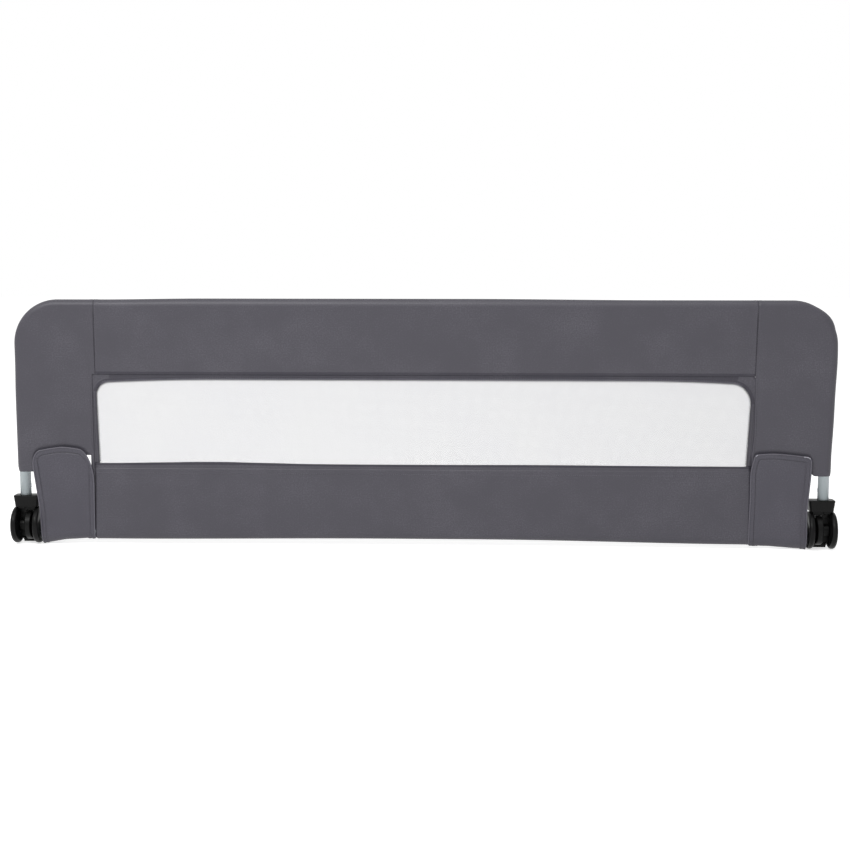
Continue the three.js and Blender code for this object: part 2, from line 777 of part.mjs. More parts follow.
// Cloth that leaves the window edge, runs to a tube and comes back round it.
// The outline runs out from the edge along its X and lies across the rail along its Y.
function wrapLine(reach, stretch, radius, edge) {
  const tilt = Math.asin(radius / Math.hypot(reach, edge)) - Math.atan(edge / reach);
  const sweep = Math.PI / 2 + tilt;
  const points = [new THREE.Vector2(0, edge)];
  for (let i = 0; i <= wrapSteps; i += 1) {
    const angle = sweep - (i / wrapSteps) * sweep * 2;
    points.push(new THREE.Vector2(reach + stretch * radius * Math.cos(angle), radius * Math.sin(angle)));
  }
  points.push(new THREE.Vector2(0, -edge));
  return points;
}

function wrapOutline(reach, stretch = 1, ease = 0) {
  const inner = wrapInner / Math.cos(Math.PI / 2 / wrapSteps);
  return [
    ...wrapLine(reach, stretch, wrapOuter + ease, edgeOuter),
    ...wrapLine(reach, stretch, inner + ease, edgeInner).reverse(),
  ];
}

// How far the cover's front face stands from the rail's middle plane, at a place beside an upright
function panelDepth(x) {
  const reach = uprightX - panelEdge;
  const tilt = Math.asin(wrapOuter / Math.hypot(reach, edgeOuter)) - Math.atan(edgeOuter / reach);
  return edgeOuter + Math.tan(tilt) * (x - panelEdge);
}

function bandPanel(edgeHeight, tubeHeight) {
  const way = Math.sign(tubeHeight - edgeHeight);
  const outline = wrapOutline(Math.abs(tubeHeight - edgeHeight));
  const place = (x) => (point) => new THREE.Vector3(x, point.y, edgeHeight + way * point.x);
  const end = panelEdge - touchGap / 2;
  return loft([{ outline, place: place(-end) }, { outline, place: place(end) }], true);
}

// Side panel: level sections up the upright, then sections that fan round the corner tube.
// Under the top of the cut-out only a narrow part round the upright goes on, down to the sleeve's end.
function sidePanel() {
  const edge = panelEdge + touchGap / 2;
  const section = (origin, target, normal, ease) => {
    const ray = target.clone().sub(origin);
    const reach = ray.length();
    ray.normalize();
    const place = (point) => new THREE.Vector3(origin.x + ray.x * point.x, point.y, origin.y + ray.y * point.x);
    return { outline: wrapOutline(reach, 1 / ray.dot(normal), ease), place };
  };
  const level = (z) => section(new THREE.Vector2(edge, z), new THREE.Vector2(uprightX, z), new THREE.Vector2(1, 0), 0);
  const corner = new THREE.Vector2(edge, panelLintel);
  const centre = new THREE.Vector2(uprightX - cornerBend, topTubeHeight - cornerBend);
  const sections = [level(cutoutTop), level(panelLintel)];
  for (let i = 0; i <= bendSteps; i += 1) {
    const angle = (i / bendSteps) * (Math.PI / 2);
    const normal = new THREE.Vector2(Math.cos(angle), Math.sin(angle));
    const target = centre.clone().addScaledVector(normal, cornerBend);
    sections.push(section(corner, target, normal, cornerEase * Math.sin(angle * 2)));
  }
  sections.push(section(corner, new THREE.Vector2(edge, topTubeHeight), new THREE.Vector2(0, 1), 0));
  const narrow = block(
    uprightX - sleeveReach, uprightX + cheekRadius, -cheekRadius, cheekRadius, sleeveEnd - overrun, panelLintel,
  );
  const sleeve = toSolid(loft([level(sleeveEnd), level(cutoutTop + overrun)], true)).intersect(toSolid(narrow));
  return shaped([loft(sections, true), toGeometry(sleeve)]);
}

// Window mesh, tucked between the two layers of the panels round it
function windowMesh() {
  const edge = panelEdge - touchGap / 2;
  const tucked = panelEdge + meshTuck;
  const step = cutoutTop + touchGap;
  const half = [
    [edge, panelSill - meshTuck], [edge, step], [tucked, step], [tucked, panelLintel + meshTuck],
  ];
  const outline = [...half, ...half.map(([x, z]) => [-x, z]).reverse()].map(([x, z]) => new THREE.Vector2(x, z));
  const place = (y) => (point) => new THREE.Vector3(point.x, y, point.y);
  return loft([
    { outline, place: place(-meshThickness / 2) },
    { outline, place: place(meshThickness / 2) },
  ]);
}

// Binding tape round the window, on one face of the mesh
function windowBinding() {
  const outer = panelEdge - touchGap / 2;
  const low = panelSill + touchGap;
  const high = panelLintel - touchGap;
  const frame = new THREE.Shape([
    new THREE.Vector2(-outer, low), new THREE.Vector2(outer, low),
    new THREE.Vector2(outer, high), new THREE.Vector2(-outer, high),
  ]);
  const side = windowSide;
  const corner = (x, z, radius, quarter) => {
    const points = [];
    for (let step = 0; step <= cornerSteps; step += 1) {
      const angle = (quarter + step / cornerSteps) * (Math.PI / 2);
      points.push(new THREE.Vector2(
        x - Math.sign(x) * radius + radius * Math.cos(angle),
        z + (quarter > 1 ? radius : -radius) + radius * Math.sin(angle),
      ));
    }
    return points;
  };
  frame.holes.push(new THREE.Path([
    ...corner(side, windowTop, bindingTopCorner, 0), ...corner(-side, windowTop, bindingTopCorner, 1),
    ...corner(-side, windowSill, bindingSillCorner, 2), ...corner(side, windowSill, bindingSillCorner, 3),
  ]));
  const tape = new THREE.ExtrudeGeometry(frame, { depth: clothThickness, bevelEnabled: false });
  return tape.rotateX(Math.PI / 2);
}

add('rail', 'cover_top_panel', bandPanel(panelLintel, topTubeHeight), clothGrey);
add('rail', 'cover_lower_panel', bandPanel(panelSill, crossbarHeight), clothGrey);
addPair('rail', 'cover_side_panel', sidePanel(), clothGrey);
add('rail', 'window_mesh', windowMesh(), meshWhite);
add('rail', 'window_binding_front', windowBinding(), bindingGrey, 0, -edgeInner, 0);
add('rail', 'window_binding_rear', windowBinding(), bindingGrey, 0, edgeInner + clothThickness, 0);

// Flap over the cut-out in a lower corner. It turns round the crossbar and closes on a strip of hook tape.
const flapInnerEdge = panelEdge + touchGap;
const flapOuterTop = uprightX - flapTubeGap;
const flapBackDepth = (x) => panelDepth(x) + stripThickness * 2 + touchGap * 3;

function flapOuterEdge(z) {
  const waist = hingeX - forkHalf - flapWaistGap;
  const share = Math.max(0, (z - flapWaistHeight) / (flapTop - flapWaistHeight));
  return waist + (flapOuterTop - waist) * share;
}

function flap() {
  const width = flapOuterTop - flapInnerEdge;
  const line = (x, top, ease, offset) => {
    const points = [];
    const wrap = frameRadius + ease + offset;
    const crown = flapBackDepth(x) + offset;
    for (const share of flapHeightShares) {
      const z = crossbarHeight + (top - crossbarHeight) * (1 - share);
      const slope = (z - crossbarHeight) / (flapTop - crossbarHeight);
      points.push([-(wrap + (crown - wrap) * slope), z]);
    }
    for (let i = 1; i <= wrapSteps / 2; i += 1) {
      const angle = Math.PI * (1 + i / (wrapSteps / 2));
      points.push([wrap * Math.cos(angle), crossbarHeight + wrap * Math.sin(angle)]);
    }
    points.push([wrap, crossbarHeight + flapRearEdge]);
    return points;
  };
  const section = (share) => {
    const x = flapInnerEdge + width * share;
    const intoCorner = Math.max(0, flapCorner - width * Math.min(share, 1 - share));
    const top = flapTop - flapCorner + Math.sqrt(flapCorner ** 2 - intoCorner ** 2);
    const ease = flapInnerEase + (flapOuterEase - flapInnerEase) * share;
    const front = line(x, top, ease, clothThickness);
    const back = line(x, top, ease, 0);
    const outline = [...front, ...back.reverse()].map(([y, z]) => new THREE.Vector2(y, z));
    const place = (point) => new THREE.Vector3(
      flapInnerEdge + (flapOuterEdge(point.y) - flapInnerEdge) * share, point.x, point.y,
    );
    return { outline, place };
  };
  const cornerShares = flapCornerShares.map((share) => (share * flapCorner) / width);
  const shares = [...cornerShares, ...cornerShares.map((share) => 1 - share).reverse()];
  return loft(shares.map(section), true);
}

// Strip of tape along the top of the cut-out, a given distance in front of the side panel
function tapeStrip(standOff) {
  const top = cutoutTop + touchGap + stripHeight;
  const section = (x) => {
    const depth = panelDepth(x) + standOff;
    const outline = [
      [-depth, cutoutTop + touchGap], [-depth, top],
      [-depth - stripThickness, top], [-depth - stripThickness, cutoutTop + touchGap],
    ].map(([y, z]) => new THREE.Vector2(y, z));
    return { outline, place: (point) => new THREE.Vector3(x, point.x, point.y) };
  };
  return loft([section(flapInnerEdge + stripInset), section(flapOuterTop - stripInset)]);
}

addPair('flaps', 'corner_flap', flap(), clothGrey);
addPair('rail', 'flap_loop_strip', tapeStrip(touchGap), hookTape);
addPair('flaps', 'flap_hook_strip', tapeStrip(touchGap * 2 + stripThickness), hookTape);

// The origin sits midway between the hinge's front and the far end of the legs
model.position.y = -(legReach - cheekRadius) / 2;

export default model;
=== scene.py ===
# %% [markdown]
# # A folding bed guard rail
# A cloth cover is stretched over an upright tube frame, and the frame folds on two plastic hinges. The packed
# CAD model is loaded as a fixed frame, and each lesson below dresses one of its pieces. Blender works in metres,
# and the real object is measured in millimetres, so every size is written in millimetres times MM.

# %% Load the frame
import math
from functools import partial

import bmesh
import bpy
from mathutils import Matrix, Vector, noise


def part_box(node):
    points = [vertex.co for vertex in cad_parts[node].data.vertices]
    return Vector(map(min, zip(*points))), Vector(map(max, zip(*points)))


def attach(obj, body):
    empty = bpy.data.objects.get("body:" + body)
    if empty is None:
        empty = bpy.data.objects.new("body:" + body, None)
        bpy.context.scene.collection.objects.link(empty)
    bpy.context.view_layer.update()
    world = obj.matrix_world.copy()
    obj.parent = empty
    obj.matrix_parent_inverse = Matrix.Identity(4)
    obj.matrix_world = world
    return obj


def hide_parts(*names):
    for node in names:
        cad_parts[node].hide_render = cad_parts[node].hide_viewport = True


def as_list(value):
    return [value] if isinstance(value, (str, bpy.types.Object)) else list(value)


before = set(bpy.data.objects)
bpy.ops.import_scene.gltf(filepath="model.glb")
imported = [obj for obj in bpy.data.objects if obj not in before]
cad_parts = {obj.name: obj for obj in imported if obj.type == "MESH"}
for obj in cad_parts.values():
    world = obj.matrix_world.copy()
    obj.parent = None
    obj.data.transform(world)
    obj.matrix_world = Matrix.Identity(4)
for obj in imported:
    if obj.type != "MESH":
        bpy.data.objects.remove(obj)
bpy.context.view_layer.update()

MM = 0.001

# %% [markdown]
# Every new piece is placed from the frame, so it stays right if the frame changes. The middle of a tube is the
# middle of its box. The rail stands in one plane, and the hinges turn about one axis.

# %% Places taken from the frame
def middle(node):
    low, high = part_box(node)
    return (low + high) / 2


RAIL_Y = middle("left_top_tube").y
TOP_Z = middle("left_top_tube").z
CROSS_Z = middle("left_crossbar").z
AXIS = middle("right_axle_cap")
HINGE_X = middle("right_release_collar").x
TUBE_R = (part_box("left_top_tube")[1].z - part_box("left_top_tube")[0].z) / 2
UPRIGHT_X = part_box("right_corner_tube")[1].x - TUBE_R
BINDING_LOW, BINDING_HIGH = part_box("window_binding_front")
FLAP_LOW, FLAP_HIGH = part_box("right_corner_flap")
PANEL_X = BINDING_HIGH.x
SILL_Z = BINDING_LOW.z
LINTEL_Z = BINDING_HIGH.z
SLEEVE_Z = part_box("right_cover_side_panel")[0].z
print("rail plane", round(RAIL_Y, 4), "upright", round(UPRIGHT_X, 4), "hinge", round(HINGE_X, 4))

# %% [markdown]
# ## The camera
# The photograph was taken from straight in front and a little above with a long lens. A far camera and a long
# focal length keep the rail's long edges almost level, which a near camera would not.

# %% The camera
VIEW_AZIMUTH = math.radians(2.175)
VIEW_ELEVATION = math.radians(7.27)
VIEW_DISTANCE = 2560 * MM
FOCAL_PIXELS = 1411
PHOTO_PIXELS = 850
SENSOR = 36.0
VIEW_TARGET = Vector((8.64 * MM, RAIL_Y, 223.4 * MM))
level = math.cos(VIEW_ELEVATION)
sight = Vector((-math.sin(VIEW_AZIMUTH) * level, math.cos(VIEW_AZIMUTH) * level, -math.sin(VIEW_ELEVATION)))
camera = bpy.data.objects.new("camera", bpy.data.cameras.new("camera"))
camera.data.sensor_width = SENSOR
camera.data.lens = FOCAL_PIXELS * SENSOR / PHOTO_PIXELS
camera.data.clip_end = 50
camera.location = VIEW_TARGET - sight * VIEW_DISTANCE
camera.rotation_euler = sight.to_track_quat("-Z", "Y").to_euler()
bpy.context.scene.collection.objects.link(camera)
bpy.context.scene.camera = camera
bpy.context.scene.view_settings.view_transform = "Standard"
print("lens", round(camera.data.lens, 2), "mm")

# %% [markdown]
# ## Materials
# A material is a small net of nodes. Colours are written as they look on a screen, and one function turns them
# into the linear light that the shader wants. One more function adds any node with its settings and links.

# %% Colour and node helpers
def linear(hex_colour):
    channels = [int(hex_colour[i:i + 2], 16) / 255 for i in (1, 3, 5)]
    return [c / 12.92 if c <= 0.04045 else ((c + 0.055) / 1.055) ** 2.4 for c in channels] + [1.0]


def set_inputs(tree, node, inputs):
    """Links a socket to another node's output, or gives it a plain value."""
    for socket, value in inputs.items():
        if isinstance(value, bpy.types.NodeSocket):
            tree.links.new(value, node.inputs[socket])
        else:
            node.inputs[socket].default_value = value


def add_node(tree, kind, inputs, **settings):
    made = tree.nodes.new("ShaderNode" + kind)
    for name, value in settings.items():
        setattr(made, name, value)
    set_inputs(tree, made, inputs)
    return made


def texture(tree, kind, inputs, output="Fac", **settings):
    return add_node(tree, "Tex" + kind, inputs, **settings).outputs[output]


def maths(tree, operation, *values, **settings):
    """The output of a Math node with its values in order."""
    return add_node(tree, "Math", dict(enumerate(values)), operation=operation, **settings).outputs[0]


def bump(tree, height, strength, distance):
    return add_node(tree, "Bump", {"Height": height, "Strength": strength, "Distance": distance}).outputs["Normal"]


def ramp(tree, factor, *stops):
    made = add_node(tree, "ValToRGB", {"Fac": factor})
    elements = made.color_ramp.elements
    while len(elements) < len(stops):
        elements.new(0.5)
    for element, (place, colour) in zip(elements, stops):
        element.position = place
        element.color = linear(colour)
    return made.outputs["Color"]


def new_material(name):
    material = bpy.data.materials.new(name)
    material.use_nodes = True
    tree = material.node_tree
    tree.nodes.clear()
    shader = add_node(tree, "BsdfPrincipled", {})
    output = add_node(tree, "OutputMaterial", {"Surface": shader.outputs[0]})
    return material, tree, shader, output


# %% [markdown]
# The cover is woven polyester. It is dyed in the thread, so its colour hardly changes, and the eye sees a soft
# surface with faint clouds where the cloth was handled. The real threads are 0.35 mm apart, which is too fine to
# show from here, so they are drawn 1.4 mm apart. The pattern follows the cloth's own UV map, which is laid out in
# metres, so the threads turn with the cloth round a tube.

# %% Woven polyester
THREAD_PITCH = 1.4 * MM
LINT_SCALE = 420.0


def woven_cloth(name, dark, mid, light, pitch, roughness):
    material, tree, shader, _ = new_material(name)
    uv, place = (texture(tree, "Coord", {}, output) for output in ("UV", "Object"))
    warp, weft = (texture(tree, "Wave", {"Vector": uv, "Scale": 1 / (math.tau * pitch), "Distortion": 0.0},
                          bands_direction=way, wave_profile="SIN") for way in "XY")
    weave = maths(tree, "MULTIPLY", warp, weft)
    clouds = texture(tree, "Noise", {"Vector": place, "Scale": 14.0, "Detail": 4.0, "Roughness": 0.55})
    lint = texture(tree, "Noise", {"Vector": uv, "Scale": LINT_SCALE, "Detail": 2.0, "Roughness": 0.6})
    mottled = maths(tree, "MULTIPLY_ADD", clouds, lint, maths(tree, "MULTIPLY", lint, 0.3))
    toned = maths(tree, "MULTIPLY_ADD", weave, 0.08, mottled)
    height = maths(tree, "MULTIPLY_ADD", lint, 0.35, weave)
    set_inputs(tree, shader, {
        "Base Color": ramp(tree, toned, (0.38, dark), (0.52, mid), (0.68, light)),
        "Normal": bump(tree, height, 0.25, 0.12 * MM),
        "Roughness": roughness, "Specular IOR Level": 0.45, "Sheen Weight": 0.03, "Sheen Roughness": 0.4,
    })
    return material


cover_cloth = woven_cloth("charcoal_woven_polyester", "#403e46", "#47454d", "#4f4d55", THREAD_PITCH, 0.45)
flap_cloth = woven_cloth("charcoal_hemmed_polyester", "#413f48", "#48464f", "#4f4d56", THREAD_PITCH, 0.48)
# The piping is a little lighter than the flap: partly its own tone, partly a painted highlight on the raised edge.
piping_and_highlight_cloth = woven_cloth("polyester_piping_and_painted_highlight", "#55535c", "#5c5a63", "#64626b", 0.9 * MM, 0.45)

# %% [markdown]
# The binding is a ribbed polyester tape, darker than the cover because its ribs trap light. Its ribs cross the
# tape, 1.5 mm apart here. The sewing thread has a slight gloss, and the hook tape is a dense dark pile.

# %% Tape and thread
# The same dark tape material also paints shade on the cover: along the top panel's lower edge and along the sill's top
# edge.
binding_tape_and_shade = woven_cloth("ribbed_tape_and_painted_shade", "#33313a", "#3a3840", "#424048", 1.5 * MM, 0.7)
hook_tape = woven_cloth("hook_pile_tape", "#2b2b30", "#37373c", "#424248", 1.0 * MM, 0.95)


def thread(name, dark, light):
    material, tree, shader, _ = new_material(name)
    place = texture(tree, "Coord", {}, "Object")
    twist = texture(tree, "Noise", {"Vector": place, "Scale": 900.0, "Detail": 1.0})
    set_inputs(tree, shader, {"Base Color": ramp(tree, twist, (0.35, dark), (0.65, light)),
                              "Roughness": 0.55, "Sheen Weight": 0.1})
    return material


cover_thread = thread("grey_polyester_thread", "#504e57", "#615f69")
dark_thread = thread("dark_overlock_thread", "#28262d", "#37353d")
# The silver grey thread is a painted highlight, used for the zigzag along the window's top.
highlight_thread = thread("overlock_thread_painted_highlight", "#66646d", "#7b7983")
# The pale thread is a painted highlight: short rows of it make the glints at the right flap's top corners.
glint_thread = thread("painted_glint_pale_stitch", "#b3b1bb", "#c9c7d0")

# %% [markdown]
# The window is a fine warp-knitted polyester net. The real holes are about 1 mm wide. They are drawn 1.7 mm apart
# and let the view through, so that it stays a net from near by and turns to an even pale grey from the camera.

# %% Net
NET_PITCH = 1.7 * MM


def knitted_net(name, pitch):
    material, tree, shader, output = new_material(name)
    place = texture(tree, "Coord", {}, "Object")
    upright = add_node(tree, "Mapping", {"Vector": place, "Rotation": (math.radians(90), 0, 0)}).outputs[0]
    cells = texture(tree, "Voronoi", {"Vector": upright, "Scale": 1 / pitch, "Randomness": 0.0}, "Distance",
                    voronoi_dimensions="2D")
    hole = add_node(tree, "MapRange", {"Value": cells, "From Min": 0.24, "From Max": 0.32, "To Min": 1.0,
                                       "To Max": 0.0}, interpolation_type="SMOOTHSTEP")
    clouds = texture(tree, "Noise", {"Vector": place, "Scale": 9.0, "Detail": 3.0})
    set_inputs(tree, shader, {"Base Color": ramp(tree, clouds, (0.35, "#d4d4d6"), (0.65, "#d6d6d7")),
                              "Normal": bump(tree, cells, 0.08, 0.1 * MM), "Roughness": 0.8})
    clear = add_node(tree, "BsdfTransparent", {})
    mix = add_node(tree, "MixShader", {0: hole.outputs[0], 1: shader.outputs[0], 2: clear.outputs[0]})
    set_inputs(tree, output, {"Surface": mix.outputs[0]})
    return material


window_net = knitted_net("warp_knitted_net", NET_PITCH)

# %% [markdown]
# The hinges are moulded in black polypropylene with a fine spark-eroded grain of about 0.4 mm, so their gloss is
# soft. The tubes are steel with a grey powder coat, whose faint orange peel is about 2 mm wide. The feet are
# matt rubber, and the small fittings are zinc-plated steel with a slightly brushed look.

# %% Plastic, coated steel, rubber and zinc
def grained(name, dark, light, grain, depth, roughness, metallic=0.0, specular=0.5, patch=30.0):
    material, tree, shader, _ = new_material(name)
    place = texture(tree, "Coord", {}, "Object")
    clouds = texture(tree, "Noise", {"Vector": place, "Scale": patch, "Detail": 3.0, "Roughness": 0.6})
    fine = texture(tree, "Noise", {"Vector": place, "Scale": 1 / (grain * MM), "Detail": 2.0, "Roughness": 0.5})
    gloss = add_node(tree, "MapRange", {"Value": clouds, "To Min": roughness - 0.05, "To Max": roughness + 0.07})
    set_inputs(tree, shader, {
        "Base Color": ramp(tree, clouds, (0.35, dark), (0.68, light)), "Normal": bump(tree, fine, 0.35, depth * MM),
        "Roughness": gloss.outputs[0], "Metallic": metallic, "Specular IOR Level": specular,
    })
    return material


black_plastic = grained("moulded_black_polypropylene", "#070707", "#0c0c0c", 0.4, 0.03, 0.34, specular=0.14)
coated_tube = grained("powder_coated_steel_tube", "#c0cacd", "#c7d0d3", 2.0, 0.02, 0.32, specular=0.4)
black_rubber = grained("matt_black_rubber", "#202021", "#29292a", 0.8, 0.06, 0.78, specular=0.3)
zinc_plate = grained("zinc_plated_steel", "#b3b5b8", "#c3c5c7", 0.6, 0.01, 0.3, metallic=1.0, patch=90.0)
spring_wire = grained("oiled_spring_steel", "#7d8084", "#96999c", 0.5, 0.01, 0.34, metallic=1.0)
blackened_steel = grained("blackened_steel_pin", "#141415", "#1c1c1d", 0.5, 0.01, 0.45, specular=0.3)
print("materials", len(bpy.data.materials))

# %% [markdown]
# ## Helpers for the pieces
# A piece is made in a bmesh, then written to a mesh whose object sits at the origin. It rides on a CAD body, so
# it follows the joints. The right-hand piece of a pair is built, and the left-hand one is its mirror image.

# %% From a bmesh to a piece
SIDES = {-1: "left", 1: "right"}


def finish_piece(name, shape, materials, body, replaces=(), sharp=40, thick=0.0, offset=0.0):
    """Makes the object. A thickness turns a sheet into cloth, inward only where offset is -1."""
    mesh = bpy.data.meshes.new(name)
    for face in shape.faces:
        face.smooth = True
    shape.to_mesh(mesh)
    shape.free()
    for material in materials:
        mesh.materials.append(material)
    mesh.set_sharp_from_angle(angle=math.radians(sharp))
    made = bpy.data.objects.new(name, mesh)
    bpy.context.scene.collection.objects.link(made)
    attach(made, body)
    if replaces:
        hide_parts(*replaces)
    if thick:
        solid = made.modifiers.new("thickness", "SOLIDIFY")
        solid.thickness, solid.offset = thick, offset
    return made


def tidy_normals(shape, gap=0.01 * MM):
    bmesh.ops.remove_doubles(shape, verts=shape.verts[:], dist=gap)
    bmesh.ops.recalc_face_normals(shape, faces=shape.faces[:])


def mirror_left(shape, hand):
    if hand < 0:
        bmesh.ops.scale(shape, verts=shape.verts[:], vec=(-1, 1, 1))
        bmesh.ops.reverse_faces(shape, faces=shape.faces[:])


def verts_in(made):
    return [item for item in made if isinstance(item, bmesh.types.BMVert)]


# %% [markdown]
# Cloth is shaped by adding up small curves. A soft step goes from 0 to 1 between two places, and a bell is a bump
# round one place. Their places are given in millimetres.

# %% Soft steps and bells
def smoothstep(value, low=0.0, high=1.0):
    share = min(1.0, max(0.0, (value - low) / (high - low)))
    return share * share * (3 - 2 * share)


def ease(value, low, high):
    return smoothstep(value, low * MM, high * MM)


def bell(value, centre, width):
    return math.exp(-((value - centre * MM) / (width * MM)) ** 2)


# %% [markdown]
# Turned parts start as a row of points and are spun. Tubes start as a circle that is extruded and spun along its
# path.

# %% Turned parts and blocks
def spun(shape, profile, centre, axis, steps=96):
    """Spins a row of (radius, along) points about an axis through centre."""
    axis = Vector(axis).normalized()
    side = Vector((0, 0, 1)) if abs(axis.z) < 0.5 else Vector((1, 0, 0))
    row = [shape.verts.new(centre + side * radius + axis * along) for radius, along in profile]
    edges = [shape.edges.new(pair) for pair in zip(row, row[1:])]
    bmesh.ops.spin(shape, geom=row + edges, cent=centre, axis=axis, angle=math.tau, steps=steps,
                   use_merge=True, use_duplicate=False)


def swept(shape, section, centre, start, angle, steps):
    """Sweeps a closed row of (radius, along) points backwards about the axle, from start to angle further on."""
    first = Vector((0, math.sin(start), math.cos(start)))
    cap = [shape.verts.new(centre + first * radius + Vector((along, 0, 0))) for radius, along in section]
    bmesh.ops.spin(shape, geom=[shape.faces.new(cap)], cent=centre, axis=(-1, 0, 0), angle=angle, steps=steps,
                   use_merge=False, use_duplicate=False)


def soft_block(shape, low, high, edge, segments=3):
    """A box between two corners with its edges rounded."""
    low, high = Vector(low), Vector(high)
    place = Matrix.Translation((low + high) / 2) @ Matrix.Diagonal((*(high - low), 1))
    made = bmesh.ops.create_cube(shape, size=1, matrix=place)
    edges = list({line for vert in made["verts"] for line in vert.link_edges})
    bmesh.ops.bevel(shape, geom=edges, offset=edge, segments=segments, profile=0.5, affect="EDGES",
                    material=-1, clamp_overlap=True)


# %% Tubes along a path
TUBE_SIDES = 40


def tube_start(shape, centre, normal, radius):
    turn = Vector(normal).normalized().to_track_quat("Z", "Y").to_matrix().to_4x4()
    ring = bmesh.ops.create_circle(shape, cap_ends=False, radius=radius, segments=TUBE_SIDES,
                                   matrix=Matrix.Translation(centre) @ turn)
    return list({edge for vert in ring["verts"] for edge in vert.link_edges})


def tube_straight(shape, edges, move):
    """Extrudes the open ring and gives back its new edges."""
    made = bmesh.ops.extrude_edge_only(shape, edges=edges)["geom"]
    ring = set(verts_in(made))
    bmesh.ops.translate(shape, verts=list(ring), vec=move)
    return [e for e in made if isinstance(e, bmesh.types.BMEdge) and ring.issuperset(e.verts)]


def tube_bend(shape, edges, centre, axis, steps):
    """Spins the open ring a quarter turn and gives back its new edges."""
    verts = list({v for e in edges for v in e.verts})
    made = bmesh.ops.spin(shape, geom=verts + edges, cent=centre, axis=axis, angle=math.pi / 2, steps=steps,
                          use_merge=False, use_duplicate=False)
    return [e for e in made["geom_last"] if isinstance(e, bmesh.types.BMEdge)]


# %% [markdown]
# Cloth starts as a grid whose columns and rows lie close together where its shape changes fast.

# %% Cloth grids
def spread(*runs):
    """Places along a cloth. Each run is (end, count): even steps from the last end to this one."""
    places = [runs[0][0]]
    for end, count in runs[1:]:
        start = places[-1]
        places += [start + (end - start) * (i + 1) / count for i in range(count)]
    return places


def running(points):
    """How far along a line of points each of them is."""
    lengths = [0.0]
    for start, end in zip(points, points[1:]):
        lengths.append(lengths[-1] + (end - start).length)
    return lengths


def cloth_grid(shape, columns, rows, place, flat, material_of=None):
    """A grid whose vertex at (column, row) goes to place(column, row), with UVs in metres from flat(column, row)."""
    uv = shape.loops.layers.uv.verify()
    across, along = len(columns) - 1, len(rows) - 1
    made = bmesh.ops.create_grid(shape, x_segments=across, y_segments=along, size=0.5)
    spots = {}
    for vert in made["verts"]:
        i = round((vert.co.x + 0.5) * across)
        j = round((vert.co.y + 0.5) * along)
        spots[vert] = (i, j)
        vert.co = place(columns[i], rows[j])
    faces = list({face for vert in made["verts"] for face in vert.link_faces})
    for face in faces:
        for loop in face.loops:
            i, j = spots[loop.vert]
            loop[uv].uv = flat(columns[i], rows[j])
        if material_of:
            i = min(spots[v][0] for v in face.verts)
            j = min(spots[v][1] for v in face.verts)
            face.material_index = material_of(i, j)
    return spots


def face_out(shape, outward):
    """Turns an open sheet so that most of its faces point away from a middle line."""
    shape.normal_update()
    vote = sum(face.normal.dot(outward(face.calc_center_median())) * face.calc_area() for face in shape.faces)
    if vote < 0:
        bmesh.ops.reverse_faces(shape, faces=shape.faces[:])


# %% [markdown]
# Stitches are real: each one is a little bead of thread half sunk in the cloth. An icosphere of 20 faces, pulled
# long, is enough for one. They are laid along a line of points at the machine's pitch.

# %% Stitches
def along_line(points, pitch):
    """Even places along a line of points, with the direction at each."""
    spots = []
    carried = pitch / 2
    for start, end in zip(points, points[1:]):
        run = (end - start).length
        way = (end - start).normalized() if run else Vector((1, 0, 0))
        while carried < run:
            spots.append((start + way * carried, way))
            carried += pitch
        carried -= run
    return spots


def stitch(shape, centre, way, length, width, height=None, tone=0):
    turn = way.to_track_quat("X", "Z").to_matrix().to_4x4()
    size = Matrix.Diagonal((length / 2, width / 2, (height or width) / 2, 1))
    made = bmesh.ops.create_icosphere(shape, subdivisions=1, radius=1, matrix=Matrix.Translation(centre) @ turn @ size)
    for face in {face for vert in made["verts"] for face in vert.link_faces}:
        face.material_index = tone


def straight_seam(shape, points, pitch=3.6 * MM, length=2.8 * MM, width=0.75 * MM, tone=0):
    for centre, way in along_line(points, pitch):
        stitch(shape, centre, way, length, width, tone=tone)


# %% [markdown]
# ## The cover
# The cover is sewn from four panels. Each leaves the window's edge in front, runs to a tube, turns round it and
# comes back behind to the window. A sheet of grid faces follows that line. Near a seam the cloth dips to the
# needle and puckers a little, and on the broad parts it carries slow waves of less than a millimetre.

# %% Where the seams run
def seam_move(hand, z):
    """How far outward the sewn seam lies from the straight cut. The left one leans in above the window."""
    if hand > 0:
        return 2.7 * MM * ease(z, 170, 215)
    rise = (z - LINTEL_Z) / (TOP_Z - LINTEL_Z)
    return -(5.0 + 2.8 * min(1.0, max(0.0, rise))) * MM * smoothstep(rise, -0.02, 0.0)


# %% The line across a panel
CLOTH = 0.9 * MM
BEND_R = {-1: 70 * MM, 1: 66 * MM}
WRAP_R = TUBE_R + 0.4 * MM + CLOTH / 2
EDGE_DEPTH = 1.25 * MM
DIP_REACH = 2.4 * MM
DIP_DEPTH = 1.2 * MM
PUCKER = 0.22 * MM
WAVES = 0.8 * MM


def wrap_lean(reach):
    """How far the sheet leans out on its way from the window's edge to a tube, in radians."""
    return math.asin(WRAP_R / math.hypot(reach, EDGE_DEPTH)) - math.atan2(EDGE_DEPTH, reach)


def wrap_runs(reach):
    """The angle at which the sheet meets the tube, and the lengths of one flat part and of the part on the tube."""
    sweep = math.pi / 2 + wrap_lean(reach)
    flat_run = math.hypot(reach + WRAP_R * math.cos(sweep), WRAP_R * math.sin(sweep) - EDGE_DEPTH)
    return sweep, flat_run, 2 * sweep * WRAP_R


